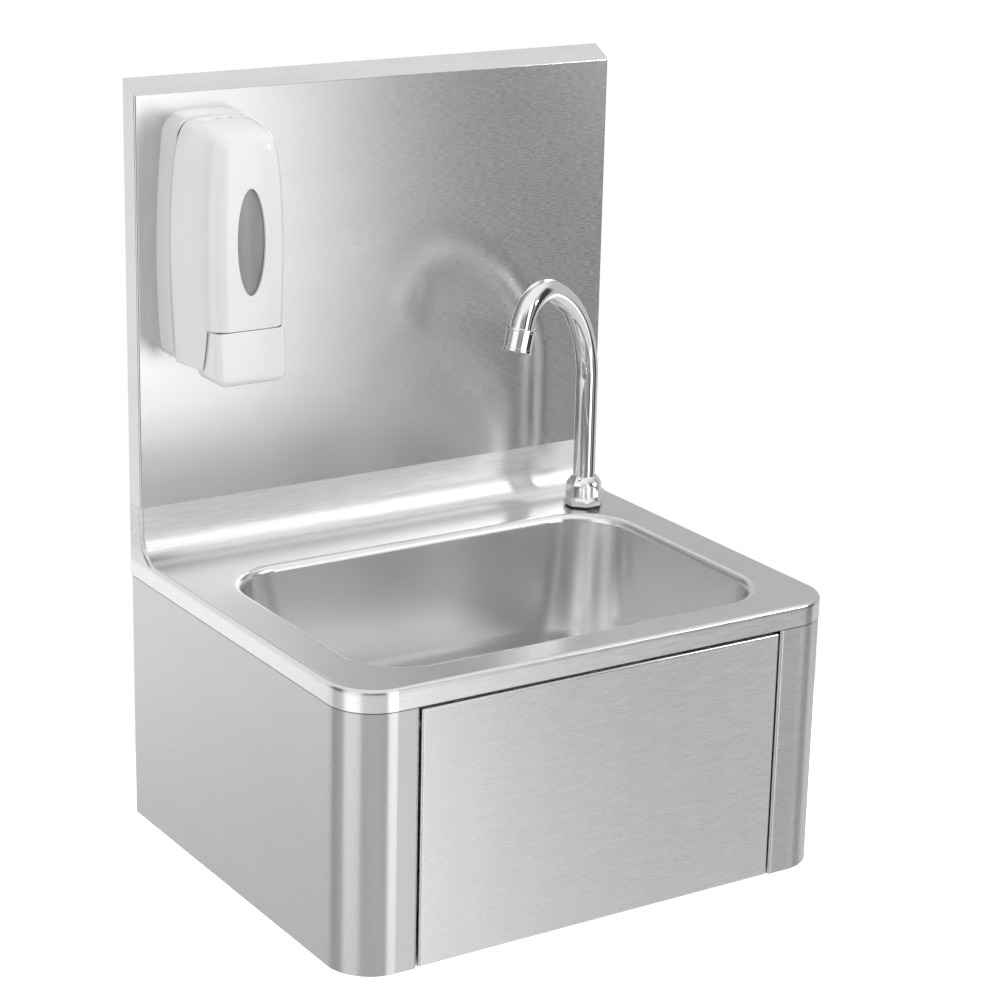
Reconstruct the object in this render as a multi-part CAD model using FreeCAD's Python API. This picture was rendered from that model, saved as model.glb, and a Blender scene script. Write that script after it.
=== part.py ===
import FreeCAD, Part
import math
import os

from FreeCAD import Placement, Rotation, Vector

# Wall-hung hand wash sink, worked by the user's knee, with a splashback, a swivelling
# spout and a soap dispenser. Millimetres. +X is the user's right, -Y faces the user and
# +Z is up. The wall is the plane y = 0. The origin is the centre of the four wall bolts.

# ---- Driving sizes of the housing ----
WIDTH = 400.0
DEPTH = 330.0
RIM = 100.0  # counter top above the wall bolts' centre
BODY_HEIGHT = 205.0  # counter top down to the housing's lower edge
SHEET = 1.2
SEAM_STEP = 0.3  # housing stands in from the skirt by this much
CORNER_RADIUS = 34.0
SKIRT = 15.5
EDGE_RADIUS = 3.0
COVE_RADIUS = 20.0
UPSTAND = 40.0  # counter top up to the weld under the splashback
COLUMN_WIDTH = 51.0
COLUMN_RETURN = 18.0
BEND = 1.0  # inside radius of a folded edge
WALL_FLANGE = 32.0
BOLT_INSET = 18.0  # bolts inside the housing's edges
BOLT_SPACING_Z = 120.0
BOLT_HOLE_R = 4.5

# ---- Splashback ----
SPLASH_DEPTH = 18.0
SPLASH_RISE = 341.5  # counter top up to the front fold
SPLASH_SLOPE = 9.5  # rise of the top return, from the fold to the wall
SPLASH_FOLD = 1.6
SPLASH_LIP = 12.0

# ---- Bowl ----
BOWL_SIDE_LEDGE = 30.0  # counter left beside the bowl's opening
BOWL_FRONT_LEDGE = 26.0
BOWL_BACK_LEDGE = 68.0  # from the wall
BOWL_CORNER = 50.0
BOWL_DEPTH = 130.0
BOWL_ROLL = 6.0
BOWL_DRAFT = 9.0
BOWL_FLOOR_CORNER = 58.0
BOWL_FLOOR_RADIUS = 46.0
RECESS_R = 38.0
RECESS_DEPTH = 3.0
DRAIN_R = 26.0

# ---- Waste ----
STRAINER_R = 36.0
STRAINER_CUP_R = 25.0
STRAINER_CUP_DEPTH = 9.0
STRAINER_SHEET = 1.2
STRAINER_HOLE_R = 3.2
STRAINER_HOLES = 8
STRAINER_RING_R = 15.5
WASTE_GASKET = 2.5
WASTE_CUP_R = 27.0
WASTE_WALL = 3.0
WASTE_CUP_DEPTH = 26.0
WASTE_FLANGE = 4.0
TAIL_R = 23.9
TAIL_WALL = 3.0
TAIL_LENGTH = 45.0
WASTE_BOSS_R = 6.0
WASTE_SCREW_R = 3.0
WASTE_SCREW_HEAD_R = 6.0
SCREW_HEAD = 3.0

# ---- Knee panel ----
PANEL_SIDE_GAP = 1.6
PANEL_TOP_GAP = 2.6
PANEL_FLANGE = 21.0
PANEL_EDGE_RADIUS = 1.8
PIN_DROP = 13.0  # pins below the panel's top edge
PIN_INSET = 9.0  # pins behind the panel's face
PIN_R = 3.0
PIN_HEAD_R = 5.0
PIN_HEAD = 2.0
BUSH_WALL = 1.4
BUSH_HEAD = 1.2
RUNNING_FIT = 0.05
STOP_TAB_WIDTH = 18.0
STOP_TAB_REACH = 7.0
STOP_TAB_LIFT = 12.0
REST_GAP = 0.3

# ---- Knee valve ----
VALVE_X = 72.0
VALVE_DROP = 162.0  # valve's axis below the counter top
RAIL_SETBACK = 58.5  # rail behind the back of the panel's face
RAIL_HEIGHT = 46.0
RAIL_FLANGE = 18.0
BUTTON_STROKE = 8.5
PAD_R = 19.0
PAD_THICKNESS = 11.5
BUTTON_R = 13.0
BUTTON_RIM = 3.0
BUTTON_DOME = 6.0
STEM_R = 5.0
NECK_R = 12.0
NECK_LENGTH = 16.0  # in front of the rail
SHOULDER_FLATS = 34.0
SHOULDER_LENGTH = 9.0
VALVE_R = 16.0
VALVE_LENGTH = 48.0
VALVE_WASHER = 1.5
LOCKNUT_FLATS = 32.0
LOCKNUT_LENGTH = 6.0
SPRING_WIRE = 1.5
SPRING_R = 8.2
SPRING_TURNS = 6
SIDE_BOSS_R = 10.0
SIDE_BOSS_REACH = 22.0
INLET_SPREAD = 32.0  # inlets either side of the valve
INLET_BACK = 34.0  # side bosses behind the rail
ELBOW_R = 9.0
ELBOW_BLOCK = 9.8  # half the side of the elbow's square corner
ELBOW_LEG_BORE_R = 4.0
ELBOW_DROP = 14.0
CHECK_HEX = 27.0
CHECK_HEX_LENGTH = 10.0
INLET_THREAD_R = 10.48
INLET_THREAD_LENGTH = 14.0
INLET_BORE_R = 6.5
WATER_BORE_R = 4.5  # inside the valve's bosses and the elbows

# ---- Supply hose ----
HOSE_R = 5.0
HOSE_BORE_R = 3.0
HOSE_NUT_FLATS = 17.0
HOSE_NUT_LENGTH = 14.0
FERRULE_R = 6.2
FERRULE_LENGTH = 16.0
NIPPLE_R = 6.5
NIPPLE_LENGTH = 12.0
HOSE_BEND_SHARE = 0.45
HOSE_RUN = 50.0  # behind the valve, before the first bend
HOSE_SIDE = 45.0  # middle bend to the right of the valve
HOSE_SIDE_Y = -80.0
HOSE_SIDE_LIFT = 4.0
HOSE_HANG = 60.0  # last bend below the hose's upper end

# ---- Spout ----
SPOUT_EDGE = 37.0  # spout's axis inside the counter's right edge
SPOUT_Y = -57.0
SPOUT_GASKET_R = 13.6
SPOUT_GASKET = 1.5
SPOUT_FLANGE_R = 14.6
SPOUT_FLANGE = 6.5
SPOUT_FLANGE_FLARE = 3.2  # the ring's cone is this much wider than its flats below
SPOUT_FLANGE_TAPER = 1.6  # and this much narrower above
SPOUT_SIDES = 8
SHANK_R = 10.0
SHANK_BORE_R = 7.2
SHANK_DROP = 44.0  # below the counter top
SHANK_HOLE_GAP = 0.6
BACKNUT_FLATS = 27.0
BACKNUT_LENGTH = 7.0
BACK_WASHER_R = 15.0
BACK_WASHER = 2.0
SPOUT_NUT_R = 13.2
SPOUT_NUT_FLAT = 9.0
SPOUT_NUT_DOME = 7.0
SPOUT_NUT_LIP = 1.2
COLLAR_R = 10.4
COLLAR_LENGTH = 3.0
TUBE_R = 8.5
TUBE_WALL = 1.3
TUBE_STRAIGHT = 102.0  # counter top up to the first bend
TUBE_BEND_1 = 85.0
TUBE_TURN_1 = 68.8
TUBE_BEND_2 = 31.0
TUBE_TURN_2 = 92.4
TUBE_END = 20.5
SPOUT_AZIMUTH = 204.0
TUBE_STUB_R = 7.1
TUBE_STUB_LENGTH = 20.0
TUBE_STUB_BORE_R = 4.3
O_RING_RISES = (5.0, 12.0)  # above the stub's lower end
O_RING_WIRE = 1.2
AERATOR_R = 11.0
AERATOR_LENGTH = 18.0
AERATOR_GRIP = 5.0
AERATOR_WALL = 1.2
AERATOR_INSERT = 10.0
AERATOR_HOLES = 6
AERATOR_HOLE_R = 1.2
AERATOR_RING_R = 5.9

# ---- Soap dispenser ----
SOAP_SIDE = 54.0  # dispenser's middle inside the splashback's left edge
SOAP_RISE = 150.0  # counter top up to the dispenser's lower edge
SOAP_HEIGHT = 177.0
SOAP_HALF_BOTTOM = 35.0
SOAP_HALF_MID = 38.5
SOAP_HALF_TOP = 31.5
SOAP_MID = 85.0
SOAP_TOP_CORNER = 16.0
SOAP_BOTTOM_CORNER = 15.0
SOAP_CROWN = 2.0
SOAP_DEPTH = 72.0
SOAP_BACK_DEPTH = 20.0
SOAP_FRONT_HALF = 29.5
SOAP_FRONT_CORNER = 9.0
SOAP_TOP_FALL = 9.0
SOAP_BULGE = 3.0
SOAP_WALL = 2.0
SOAP_STEP = 0.9  # cover stands in from the back shell
SOAP_PARTING = 0.3
WINDOW_HALF_X = 11.0
WINDOW_HALF_Z = 38.0
WINDOW_RISE = 96.0
WINDOW_LIP = 2.5
WINDOW_THICK = 1.6
WINDOW_REACH = 24.0  # depth of the body that cuts the window's hole
LEVER_HALF = 28.7
LEVER_TOP = 33.0
LEVER_DROP = 7.0
LEVER_PROUD = 2.5
LEVER_SWELL_R = 28.0
LEVER_DEPTH = 30.0
LEVER_WALL = 2.0
LEVER_GAP = 0.6
LEVER_PIN_R = 1.5
LEVER_PIN_RISE = 27.0
LEVER_PIN_BACK = 10.0  # behind the cover's face
LEVER_PIN_X = 24.5
LEVER_TURN = 12.0  # degrees that the lever swings when it is pushed home
FORK_RISE = 8.0
FORK_RIB_R = 1.5
FORK_X = 6.2
FORK_WIDTH = 4.0
PUMP_BACK = 34.0  # pump's axis behind the cover's face
PUMP_R = 8.5
PUMP_BOTTOM = 22.0
PUMP_FLANGE_R = 13.0
PUMP_FLANGE = 2.5
PISTON_R = 5.0
PISTON_FLANGE_R = 9.0
PISTON_FLANGE = 2.5
PISTON_REACH = 14.0
NOZZLE_R = 4.0
NOZZLE_BORE_R = 1.6
PUMP_SPRING_WIRE = 0.9
PUMP_SPRING_R = 6.4
PUMP_SPRING_TURNS = 4
SHELF_RISE = 46.0
SHELF = 2.5
SHELF_HALF = 26.5
SHELF_MARGIN = 1.2  # shelf in front of the pump's flange
TANK_HALF = 25.5
TANK_TOP = 158.0
TANK_WALL = 1.4
TANK_BACK_GAP = 3.0
TANK_DEPTH = 54.0
TANK_CORNER = 6.0
HINGE_RISE = 2.6
HINGE_FORWARD = 3.0  # in front of the back shell's edge
HINGE_PIN_R = 1.2
HINGE_KNUCKLE_R = 2.4
HINGE_X = 20.0
HINGE_EAR = 2.5
HINGE_SIDE_GAP = 0.3
COVER_FLOOR = 9.0
SOAP_SCREW_R = 2.0
SOAP_SCREW_HEAD_R = 4.0
SOAP_SCREW_HEAD = 2.0
SOAP_SCREW_LENGTH = 8.0
SOAP_SCREW_LOW = 30.0
SOAP_SCREW_HIGH = 140.0
LATCH_HALF = 8.0
LATCH_HEIGHT = 5.0
LATCH_REACH = 16.0
KEY_HOLE_R = 1.5
KEY_HOLE_SPREAD = 5.0
KEY_HOLE_BACK = 40.0

# ---- Derived places ----
HALF = WIDTH / 2
BOLT_SPACING_X = WIDTH - 2 * BOLT_INSET
BOTTOM = RIM - BODY_HEIGHT
SKIRT_BOTTOM = RIM - SKIRT
WELD = RIM + UPSTAND
SIDE_OUT = HALF - SEAM_STEP
SIDE_FRONT = -(DEPTH - SEAM_STEP)
COLUMN_IN = HALF - COLUMN_WIDTH
PANEL_HALF = COLUMN_IN - PANEL_SIDE_GAP
PANEL_TOP = SKIRT_BOTTOM - PANEL_TOP_GAP
PANEL_BACK = SIDE_FRONT + SHEET
PIN_Y = SIDE_FRONT + PIN_INSET
PIN_Z = PANEL_TOP - PIN_DROP
VALVE_Z = RIM - VALVE_DROP
RAIL_Y = PANEL_BACK + RAIL_SETBACK
RAIL_BACK = RAIL_Y + SHEET
SIDE_BOSS_Y = RAIL_BACK + INLET_BACK
VALVE_END = RAIL_BACK + SHOULDER_LENGTH + VALVE_LENGTH
HOSE_START_Y = VALVE_END + HOSE_NUT_LENGTH + FERRULE_LENGTH
SPOUT_X = HALF - SPOUT_EDGE
SHANK_END = RIM - SHANK_DROP
HOSE_END_Z = SHANK_END - FERRULE_LENGTH
BOWL_HALF_X = HALF - BOWL_SIDE_LEDGE
BOWL_HALF_Y = (DEPTH - BOWL_FRONT_LEDGE - BOWL_BACK_LEDGE) / 2
BOWL_Y = -(BOWL_BACK_LEDGE + BOWL_HALF_Y)
BOWL_FLOOR = RIM - BOWL_DEPTH
RECESS_FLOOR = BOWL_FLOOR - RECESS_DEPTH
SOAP_X = -(HALF - SOAP_SIDE)
SOAP_Z = RIM + SOAP_RISE
SOAP_Y = -SPLASH_DEPTH
SOAP_FRONT = SOAP_Y - SOAP_DEPTH
SOAP_EDGE = SOAP_Y - SOAP_BACK_DEPTH
LEVER_PIN_Y = SOAP_FRONT + LEVER_PIN_BACK
PUMP_Y = SOAP_FRONT + PUMP_BACK
HINGE_Y = SOAP_EDGE - HINGE_FORWARD

UP = Vector(0, 0, 1)
RIGHT = Vector(1, 0, 0)
BACK = Vector(0, 1, 0)
THROUGH = 2.0  # how far a cutting shape runs past the faces it cuts


# ---- Shapes used by several pieces ----
def box(low_x, high_x, low_y, high_y, low_z, high_z):
    size = (high_x - low_x, high_y - low_y, high_z - low_z)
    return Part.makeBox(*size, Vector(low_x, low_y, low_z))


def rod(start, direction, radius, length):
    return Part.makeCylinder(radius, length, start, direction)


def tube(start, direction, radius, bore, length):
    inside = rod(start - direction * THROUGH, direction, bore, length + 2 * THROUGH)
    return rod(start, direction, radius, length).cut(inside)


def prism(start, direction, flats, sides, length):
    corner = flats / 2 / math.cos(math.pi / sides)
    angles = [2 * math.pi * (k + 0.5) / sides for k in range(sides)]
    points = [Vector(corner * math.cos(a), corner * math.sin(a), 0) for a in angles]
    solid = Part.Face(Part.makePolygon(points + points[:1])).extrude(UP * length)
    solid.Placement = Placement(start, Rotation(UP, direction))
    return solid


def path_edges(points, radii, closed):
    count = len(points)
    starts = list(points)
    ends = list(points)
    arcs = [None] * count
    for k in range(count):
        if not radii[k]:
            continue
        before = (points[k - 1] - points[k]).normalize()
        after = (points[(k + 1) % count] - points[k]).normalize()
        half_angle = before.getAngle(after) / 2
        reach = radii[k] / math.tan(half_angle)
        inward = (before + after).normalize()
        centre = points[k] + inward * (radii[k] / math.sin(half_angle))
        starts[k] = points[k] + before * reach
        ends[k] = points[k] + after * reach
        arcs[k] = Part.Arc(starts[k], centre - inward * radii[k], ends[k]).toShape()
    edges = []
    for k in range(count):
        if arcs[k]:
            edges.append(arcs[k])
        if k < count - 1 or closed:
            edges.append(Part.LineSegment(ends[k], starts[(k + 1) % count]).toShape())
    return edges


def outline(points, radii):
    return Part.Wire(path_edges(points, radii, True))


def rounded_rectangle(centre, half_x, half_y, radius):
    corners = [(-half_x, -half_y), (half_x, -half_y), (half_x, half_y), (-half_x, half_y)]
    points = [centre + Vector(x, y, 0) for x, y in corners]
    return outline(points, [radius] * len(points))


def sheet_face(points, thickness, bends, normal):
    """A folded sheet's section: its path lies on one face and the sheet on the left of it."""
    runs = [(b - a).normalize() for a, b in zip(points, points[1:])]
    lefts = [normal.cross(run) for run in runs]
    offsets = [points[0] + lefts[0] * thickness]
    path_radii = [0.0]
    offset_radii = [0.0]
    for k in range(1, len(points) - 1):
        mitre = (lefts[k - 1] + lefts[k]) * (thickness / (1 + lefts[k - 1].dot(lefts[k])))
        offsets.append(points[k] + mitre)
        turns_left = runs[k - 1].cross(runs[k]).dot(normal) > 0
        inside = bends[k - 1]
        path_radii.append(inside + thickness if turns_left else inside)
        offset_radii.append(inside if turns_left else inside + thickness)
    offsets.append(points[-1] + lefts[-1] * thickness)
    path_radii.append(0.0)
    offset_radii.append(0.0)
    loop = outline(points + offsets[::-1], path_radii + offset_radii[::-1])
    return Part.Face(loop)


def edges_where(shape, test):
    return [edge for edge in shape.Edges if all(test(v.Point) for v in edge.Vertexes)]


def near(a, b):
    return abs(a - b) < 1e-4


def parallel(edges, direction):
    """The straight edges among these that run along a direction."""
    found = []
    for edge in edges:
        ends = edge.Vertexes
        run = ends[-1].Point - ends[0].Point
        if run.Length > 0 and near(abs(run.normalize().dot(direction)), 1):
            found.append(edge)
    return found


def mirrored(shape):
    return shape.mirror(Vector(0, 0, 0), RIGHT)


def pipe(edges, radius):
    wire = Part.Wire(edges)
    start = wire.Edges[0].valueAt(wire.Edges[0].FirstParameter)
    direction = wire.Edges[0].tangentAt(wire.Edges[0].FirstParameter)
    section = Part.Wire(Part.makeCircle(radius, start, direction))
    return wire.makePipeShell([section], True, False)


def helix_spring(start, direction, radius, wire_r, length, turns):
    """A round-wire spring that stands between two flat seats."""
    pitch = (length - 2 * wire_r) / turns
    coil = Part.makeLongHelix(pitch, pitch * turns, radius)
    section = Part.Wire(Part.makeCircle(wire_r, Vector(radius, 0, 0), BACK))
    spring = Part.Wire(coil.Edges).makePipeShell([section], True, True)
    spring.translate(UP * wire_r)
    spring.Placement = Placement(start, Rotation(UP, direction)).multiply(spring.Placement)
    return spring


# ---- Housing ----
def deck_volume(inset):
    """The counter, skirt, cove and upstand as a filled body, drawn in from its faces by inset."""
    over = THROUGH if inset else 0.0
    low = SKIRT_BOTTOM - over
    front = -(DEPTH - inset)
    face = -(SPLASH_DEPTH - inset)
    half = HALF - inset
    section = [(over, low), (front, low), (front, RIM - inset), (face, RIM - inset)]
    section += [(face, WELD + over), (over, WELD + over)]
    points = [Vector(-half, y, z) for y, z in section]
    radii = [0, 0, 0, COVE_RADIUS + inset, 0, 0]
    body = Part.Face(outline(points, radii)).extrude(RIGHT * (2 * half))
    corners = parallel(edges_where(body, lambda p: near(p.y, front)), UP)
    return body.makeFillet(CORNER_RADIUS - inset, corners)


def rim_edges(body, inset):
    """The outer edges of the counter's top, and those that follow the cove upwards."""
    top = RIM - inset
    found = []
    for edge in body.Edges:
        middle = edge.valueAt((edge.FirstParameter + edge.LastParameter) / 2)
        on_side = near(abs(middle.x), HALF - inset)
        on_top = near(middle.z, top)
        on_outline = on_side or middle.y < -(DEPTH - CORNER_RADIUS)
        follows_cove = on_side and middle.z > top and middle.y < -inset and middle.z < WELD
        on_face = middle.y < -(SPLASH_DEPTH - inset) + 1e-4
        if (on_top and on_outline) or (follows_cove and on_face):
            found.append(edge)
    return found


def deck():
    outer = deck_volume(0.0)
    outer = outer.makeFillet(EDGE_RADIUS, rim_edges(outer, 0.0))
    inner = deck_volume(SHEET)
    inner = inner.makeFillet(EDGE_RADIUS - SHEET, rim_edges(inner, SHEET))
    centre = Vector(0, BOWL_Y, RIM - 2 * SHEET)
    hole = rounded_rectangle(centre, BOWL_HALF_X, BOWL_HALF_Y, BOWL_CORNER)
    bowl_hole = Part.Face(hole).extrude(UP * (4 * SHEET))
    spout_hole = rod(spout_point(RIM - 2 * SHEET), UP, SHANK_R + SHANK_HOLE_GAP, 4 * SHEET)
    return outer.cut(inner).cut(bowl_hole).cut(spout_hole)


def housing_side(sign):
    """One side with its wall flange, rounded front column and the column's return."""
    path = [
        Vector(-(SIDE_OUT - WALL_FLANGE), 0, 0),
        Vector(-SIDE_OUT, 0, 0),
        Vector(-SIDE_OUT, SIDE_FRONT, 0),
        Vector(-COLUMN_IN, SIDE_FRONT, 0),
        Vector(-COLUMN_IN, SIDE_FRONT + COLUMN_RETURN, 0),
    ]
    bends = [BEND, CORNER_RADIUS - SEAM_STEP - SHEET, BEND]
    side = sheet_face(path, SHEET, bends, UP).extrude(UP * (SKIRT_BOTTOM - BOTTOM))
    side.translate(UP * BOTTOM)
    for level in (-BOLT_SPACING_Z / 2, BOLT_SPACING_Z / 2):
        start = Vector(-BOLT_SPACING_X / 2, -2 * SHEET, level)
        side = side.cut(rod(start, BACK, BOLT_HOLE_R, 4 * SHEET))
    pin_hole = rod(Vector(-COLUMN_IN - 2 * SHEET, PIN_Y, PIN_Z), RIGHT, PIN_R, 4 * SHEET)
    side = side.cut(pin_hole)
    return side if sign < 0 else mirrored(side)


def splash_volume(inset):
    over = THROUGH if inset else 0.0
    angle = math.atan2(SPLASH_SLOPE, SPLASH_DEPTH)
    face = -(SPLASH_DEPTH - inset)
    fold = RIM + SPLASH_RISE + inset * math.tan(angle) - inset / math.cos(angle)
    back_top = fold + (over - face) * math.tan(angle)
    half = HALF - inset
    section = [(over, WELD - over), (face, WELD - over), (face, fold), (over, back_top)]
    points = [Vector(-half, y, z) for y, z in section]
    body = Part.Face(outline(points, [0] * len(points))).extrude(RIGHT * (2 * half))
    folds = edges_where(body, lambda p: near(p.y, face))
    kept = [edge for edge in folds if not all(v.Point.z < WELD + 1e-4 for v in edge.Vertexes)]
    return body.makeFillet(SPLASH_FOLD - inset, kept)


def splashback():
    shell = splash_volume(0.0).cut(splash_volume(SHEET))
    inside = HALF - SHEET
    top = RIM + SPLASH_RISE + SPLASH_SLOPE - 2 * SHEET
    for sign in (-1, 1):
        ends = sorted((sign * inside, sign * (inside - SPLASH_LIP)))
        shell = shell.fuse(box(ends[0], ends[1], -SHEET, 0, WELD, top))
    shell = shell.fuse(box(-inside, inside, -SHEET, 0, top - SPLASH_LIP, top))
    for rise in (SOAP_SCREW_LOW, SOAP_SCREW_HIGH):
        start = Vector(SOAP_X, SOAP_Y - THROUGH, SOAP_Z + rise)
        shell = shell.cut(rod(start, BACK, SOAP_SCREW_R + RUNNING_FIT, SHEET + 2 * THROUGH))
    return shell.removeSplitter()


# ---- Bowl and waste ----
def bowl_basin(inset):
    """The bowl's hollow below the rolled rim, grown outwards by inset."""
    top = Vector(0, BOWL_Y, RIM - BOWL_ROLL)
    floor = Vector(0, BOWL_Y, BOWL_FLOOR - inset)
    half_x = BOWL_HALF_X - BOWL_ROLL + inset
    half_y = BOWL_HALF_Y - BOWL_ROLL + inset
    upper = rounded_rectangle(top, half_x, half_y, BOWL_CORNER - BOWL_ROLL + inset)
    lower = rounded_rectangle(
        floor, half_x - BOWL_DRAFT, half_y - BOWL_DRAFT, BOWL_FLOOR_CORNER + inset
    )
    body = Part.makeLoft([lower, upper], True, True)
    floor_edges = edges_where(body, lambda p: near(p.z, BOWL_FLOOR - inset))
    return body.makeFillet(BOWL_FLOOR_RADIUS + inset, floor_edges)


def rolled_rim():
    """A quarter-round roll of sheet that runs round the opening."""
    outer = BOWL_ROLL
    inner = BOWL_ROLL - SHEET
    low = RIM - BOWL_ROLL
    pieces = []
    spans = [
        (Vector(BOWL_HALF_X, 0, 0), BACK, BOWL_HALF_Y - BOWL_CORNER, 0),
        (Vector(0, BOWL_HALF_Y, 0), RIGHT * -1, BOWL_HALF_X - BOWL_CORNER, 90),
        (Vector(-BOWL_HALF_X, 0, 0), BACK * -1, BOWL_HALF_Y - BOWL_CORNER, 180),
        (Vector(0, -BOWL_HALF_Y, 0), RIGHT, BOWL_HALF_X - BOWL_CORNER, 270),
    ]
    for edge_centre, along, reach, turn in spans:
        base = Vector(0, BOWL_Y, low)
        spin = Rotation(UP, turn)
        out = spin.multVec(RIGHT)
        section = roll_section(outer, inner)
        straight = section.copy()
        straight.Placement = Placement(base + edge_centre - along * reach, spin)
        pieces.append(straight.extrude(along * (2 * reach)))
        corner = section.copy()
        corner.Placement = Placement(base + edge_centre + along * reach, spin)
        axis = base + edge_centre + along * reach - out * BOWL_CORNER
        pieces.append(corner.revolve(axis, UP, 90))
    return pieces[0].multiFuse(pieces[1:])


def roll_section(outer, inner):
    slant = math.sqrt(0.5)
    points = {
        size: (
            Vector(-size, 0, 0),
            Vector(-size * slant, 0, size * slant),
            Vector(0, 0, size),
        )
        for size in (outer, inner)
    }
    edges = [
        Part.Arc(*points[outer]).toShape(),
        Part.LineSegment(points[outer][2], points[inner][2]).toShape(),
        Part.Arc(*points[inner][::-1]).toShape(),
        Part.LineSegment(points[inner][0], points[outer][0]).toShape(),
    ]
    return Part.Face(Part.Wire(edges))


def drain_point(z):
    return Vector(0, BOWL_Y, z)


def bowl():
    outside = bowl_basin(SHEET)
    recess = drain_point(RECESS_FLOOR - SHEET)
    outside = outside.fuse(rod(recess, UP, RECESS_R + SHEET, RECESS_DEPTH + SHEET))
    inside = bowl_basin(0.0)
    inside = inside.fuse(rod(drain_point(RECESS_FLOOR), UP, RECESS_R, RECESS_DEPTH + THROUGH))
    drain = rod(recess - UP * THROUGH, UP, DRAIN_R, RECESS_DEPTH + 2 * THROUGH)
    shell = outside.cut(inside).cut(drain)
    return shell.fuse(rolled_rim()).removeSplitter()


def ring_points(centre, radius, count):
    angles = [2 * math.pi * k / count for k in range(count)]
    return [centre + Vector(radius * math.cos(a), radius * math.sin(a), 0) for a in angles]


def waste_strainer():
    cup_floor = RECESS_FLOOR - STRAINER_CUP_DEPTH
    flange = rod(drain_point(RECESS_FLOOR), UP, STRAINER_R, STRAINER_SHEET)
    cup = rod(drain_point(cup_floor), UP, STRAINER_CUP_R, STRAINER_CUP_DEPTH)
    hollow_r = STRAINER_CUP_R - STRAINER_SHEET
    hollow = rod(
        drain_point(cup_floor + STRAINER_SHEET), UP, hollow_r, STRAINER_CUP_DEPTH + THROUGH
    )
    strainer = flange.fuse(cup).cut(hollow)
    holes = ring_points(drain_point(cup_floor - THROUGH), STRAINER_RING_R, STRAINER_HOLES)
    for hole in holes:
        strainer = strainer.cut(rod(hole, UP, STRAINER_HOLE_R, 2 * THROUGH + STRAINER_SHEET))
    screw_hole = rod(
        drain_point(cup_floor - THROUGH),
        UP,
        WASTE_SCREW_R + RUNNING_FIT,
        2 * THROUGH + STRAINER_SHEET,
    )
    return strainer.cut(screw_hole).removeSplitter()


def waste_top():
    return RECESS_FLOOR - SHEET - WASTE_GASKET


def waste_gasket():
    return tube(drain_point(waste_top()), UP, STRAINER_R, DRAIN_R + SHANK_HOLE_GAP, WASTE_GASKET)


def waste_body():
    """The cup below the bowl, its threaded tail and the bridge that takes the screw."""
    top = waste_top()
    cup_floor = top - WASTE_CUP_DEPTH
    flange = rod(drain_point(top - WASTE_FLANGE), UP, STRAINER_R, WASTE_FLANGE)
    cup = rod(drain_point(cup_floor), UP, WASTE_CUP_R + WASTE_WALL, WASTE_CUP_DEPTH)
    tail = rod(drain_point(cup_floor - TAIL_LENGTH), UP, TAIL_R, TAIL_LENGTH)
    body = flange.fuse(cup).fuse(tail)
    hollow_length = WASTE_CUP_DEPTH - WASTE_WALL + THROUGH
    body = body.cut(rod(drain_point(cup_floor + WASTE_WALL), UP, WASTE_CUP_R, hollow_length))
    bore_r = TAIL_R - TAIL_WALL
    bore_length = TAIL_LENGTH + WASTE_WALL + 2 * THROUGH
    body = body.cut(
        rod(drain_point(cup_floor - TAIL_LENGTH - THROUGH), UP, bore_r, bore_length)
    )
    bridge = box(
        -WASTE_CUP_R - WASTE_WALL / 2,
        WASTE_CUP_R + WASTE_WALL / 2,
        BOWL_Y - WASTE_WALL / 2,
        BOWL_Y + WASTE_WALL / 2,
        cup_floor + WASTE_WALL,
        waste_boss_top() - WASTE_WALL,
    )
    boss_low = cup_floor + WASTE_WALL
    boss = rod(drain_point(boss_low), UP, WASTE_BOSS_R, waste_boss_top() - boss_low)
    body = body.fuse(bridge).fuse(boss)
    thread = rod(drain_point(boss_low - THROUGH), UP, WASTE_SCREW_R, WASTE_CUP_DEPTH)
    return body.cut(thread).removeSplitter()


def waste_boss_top():
    return RECESS_FLOOR - STRAINER_CUP_DEPTH - REST_GAP


def waste_screw():
    seat = RECESS_FLOOR - STRAINER_CUP_DEPTH + STRAINER_SHEET
    low = waste_top() - WASTE_CUP_DEPTH + WASTE_WALL
    shank = rod(drain_point(low), UP, WASTE_SCREW_R, seat - low)
    head = rod(drain_point(seat), UP, WASTE_SCREW_HEAD_R, SCREW_HEAD)
    slot = box(
        -WASTE_SCREW_HEAD_R,
        WASTE_SCREW_HEAD_R,
        BOWL_Y - SHEET / 2,
        BOWL_Y + SHEET / 2,
        seat + SCREW_HEAD / 2,
        seat + SCREW_HEAD + THROUGH,
    )
    return shank.fuse(head).cut(slot).removeSplitter()


# ---- Knee panel ----
def panel_volume(inset):
    over = THROUGH if inset else 0.0
    half = PANEL_HALF - inset
    front = SIDE_FRONT + inset
    back = SIDE_FRONT + PANEL_FLANGE + over
    body = box(-half, half, front, back, BOTTOM + inset, PANEL_TOP - inset)
    face_edges = edges_where(body, lambda p: near(p.y, front))
    return body.makeFillet(PANEL_EDGE_RADIUS - inset, face_edges)


def knee_panel():
    """A pan with tabs that catch behind the columns' returns, so that it can't swing out."""
    pan = panel_volume(0.0).cut(panel_volume(SHEET))
    tab_y = SIDE_FRONT + COLUMN_RETURN + REST_GAP
    tab_z = BOTTOM + STOP_TAB_LIFT
    for sign in (-1, 1):
        ends = sorted((sign * (PANEL_HALF - SHEET), sign * (PANEL_HALF + STOP_TAB_REACH)))
        tab = box(ends[0], ends[1], tab_y, tab_y + SHEET, tab_z, tab_z + STOP_TAB_WIDTH)
        pan = pan.fuse(tab)
        start = Vector(ends[0] - THROUGH, PIN_Y, PIN_Z)
        hole = rod(start, RIGHT, bush_radius(), STOP_TAB_REACH + 3 * THROUGH)
        pan = pan.cut(hole)
    return pan.removeSplitter()


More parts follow.
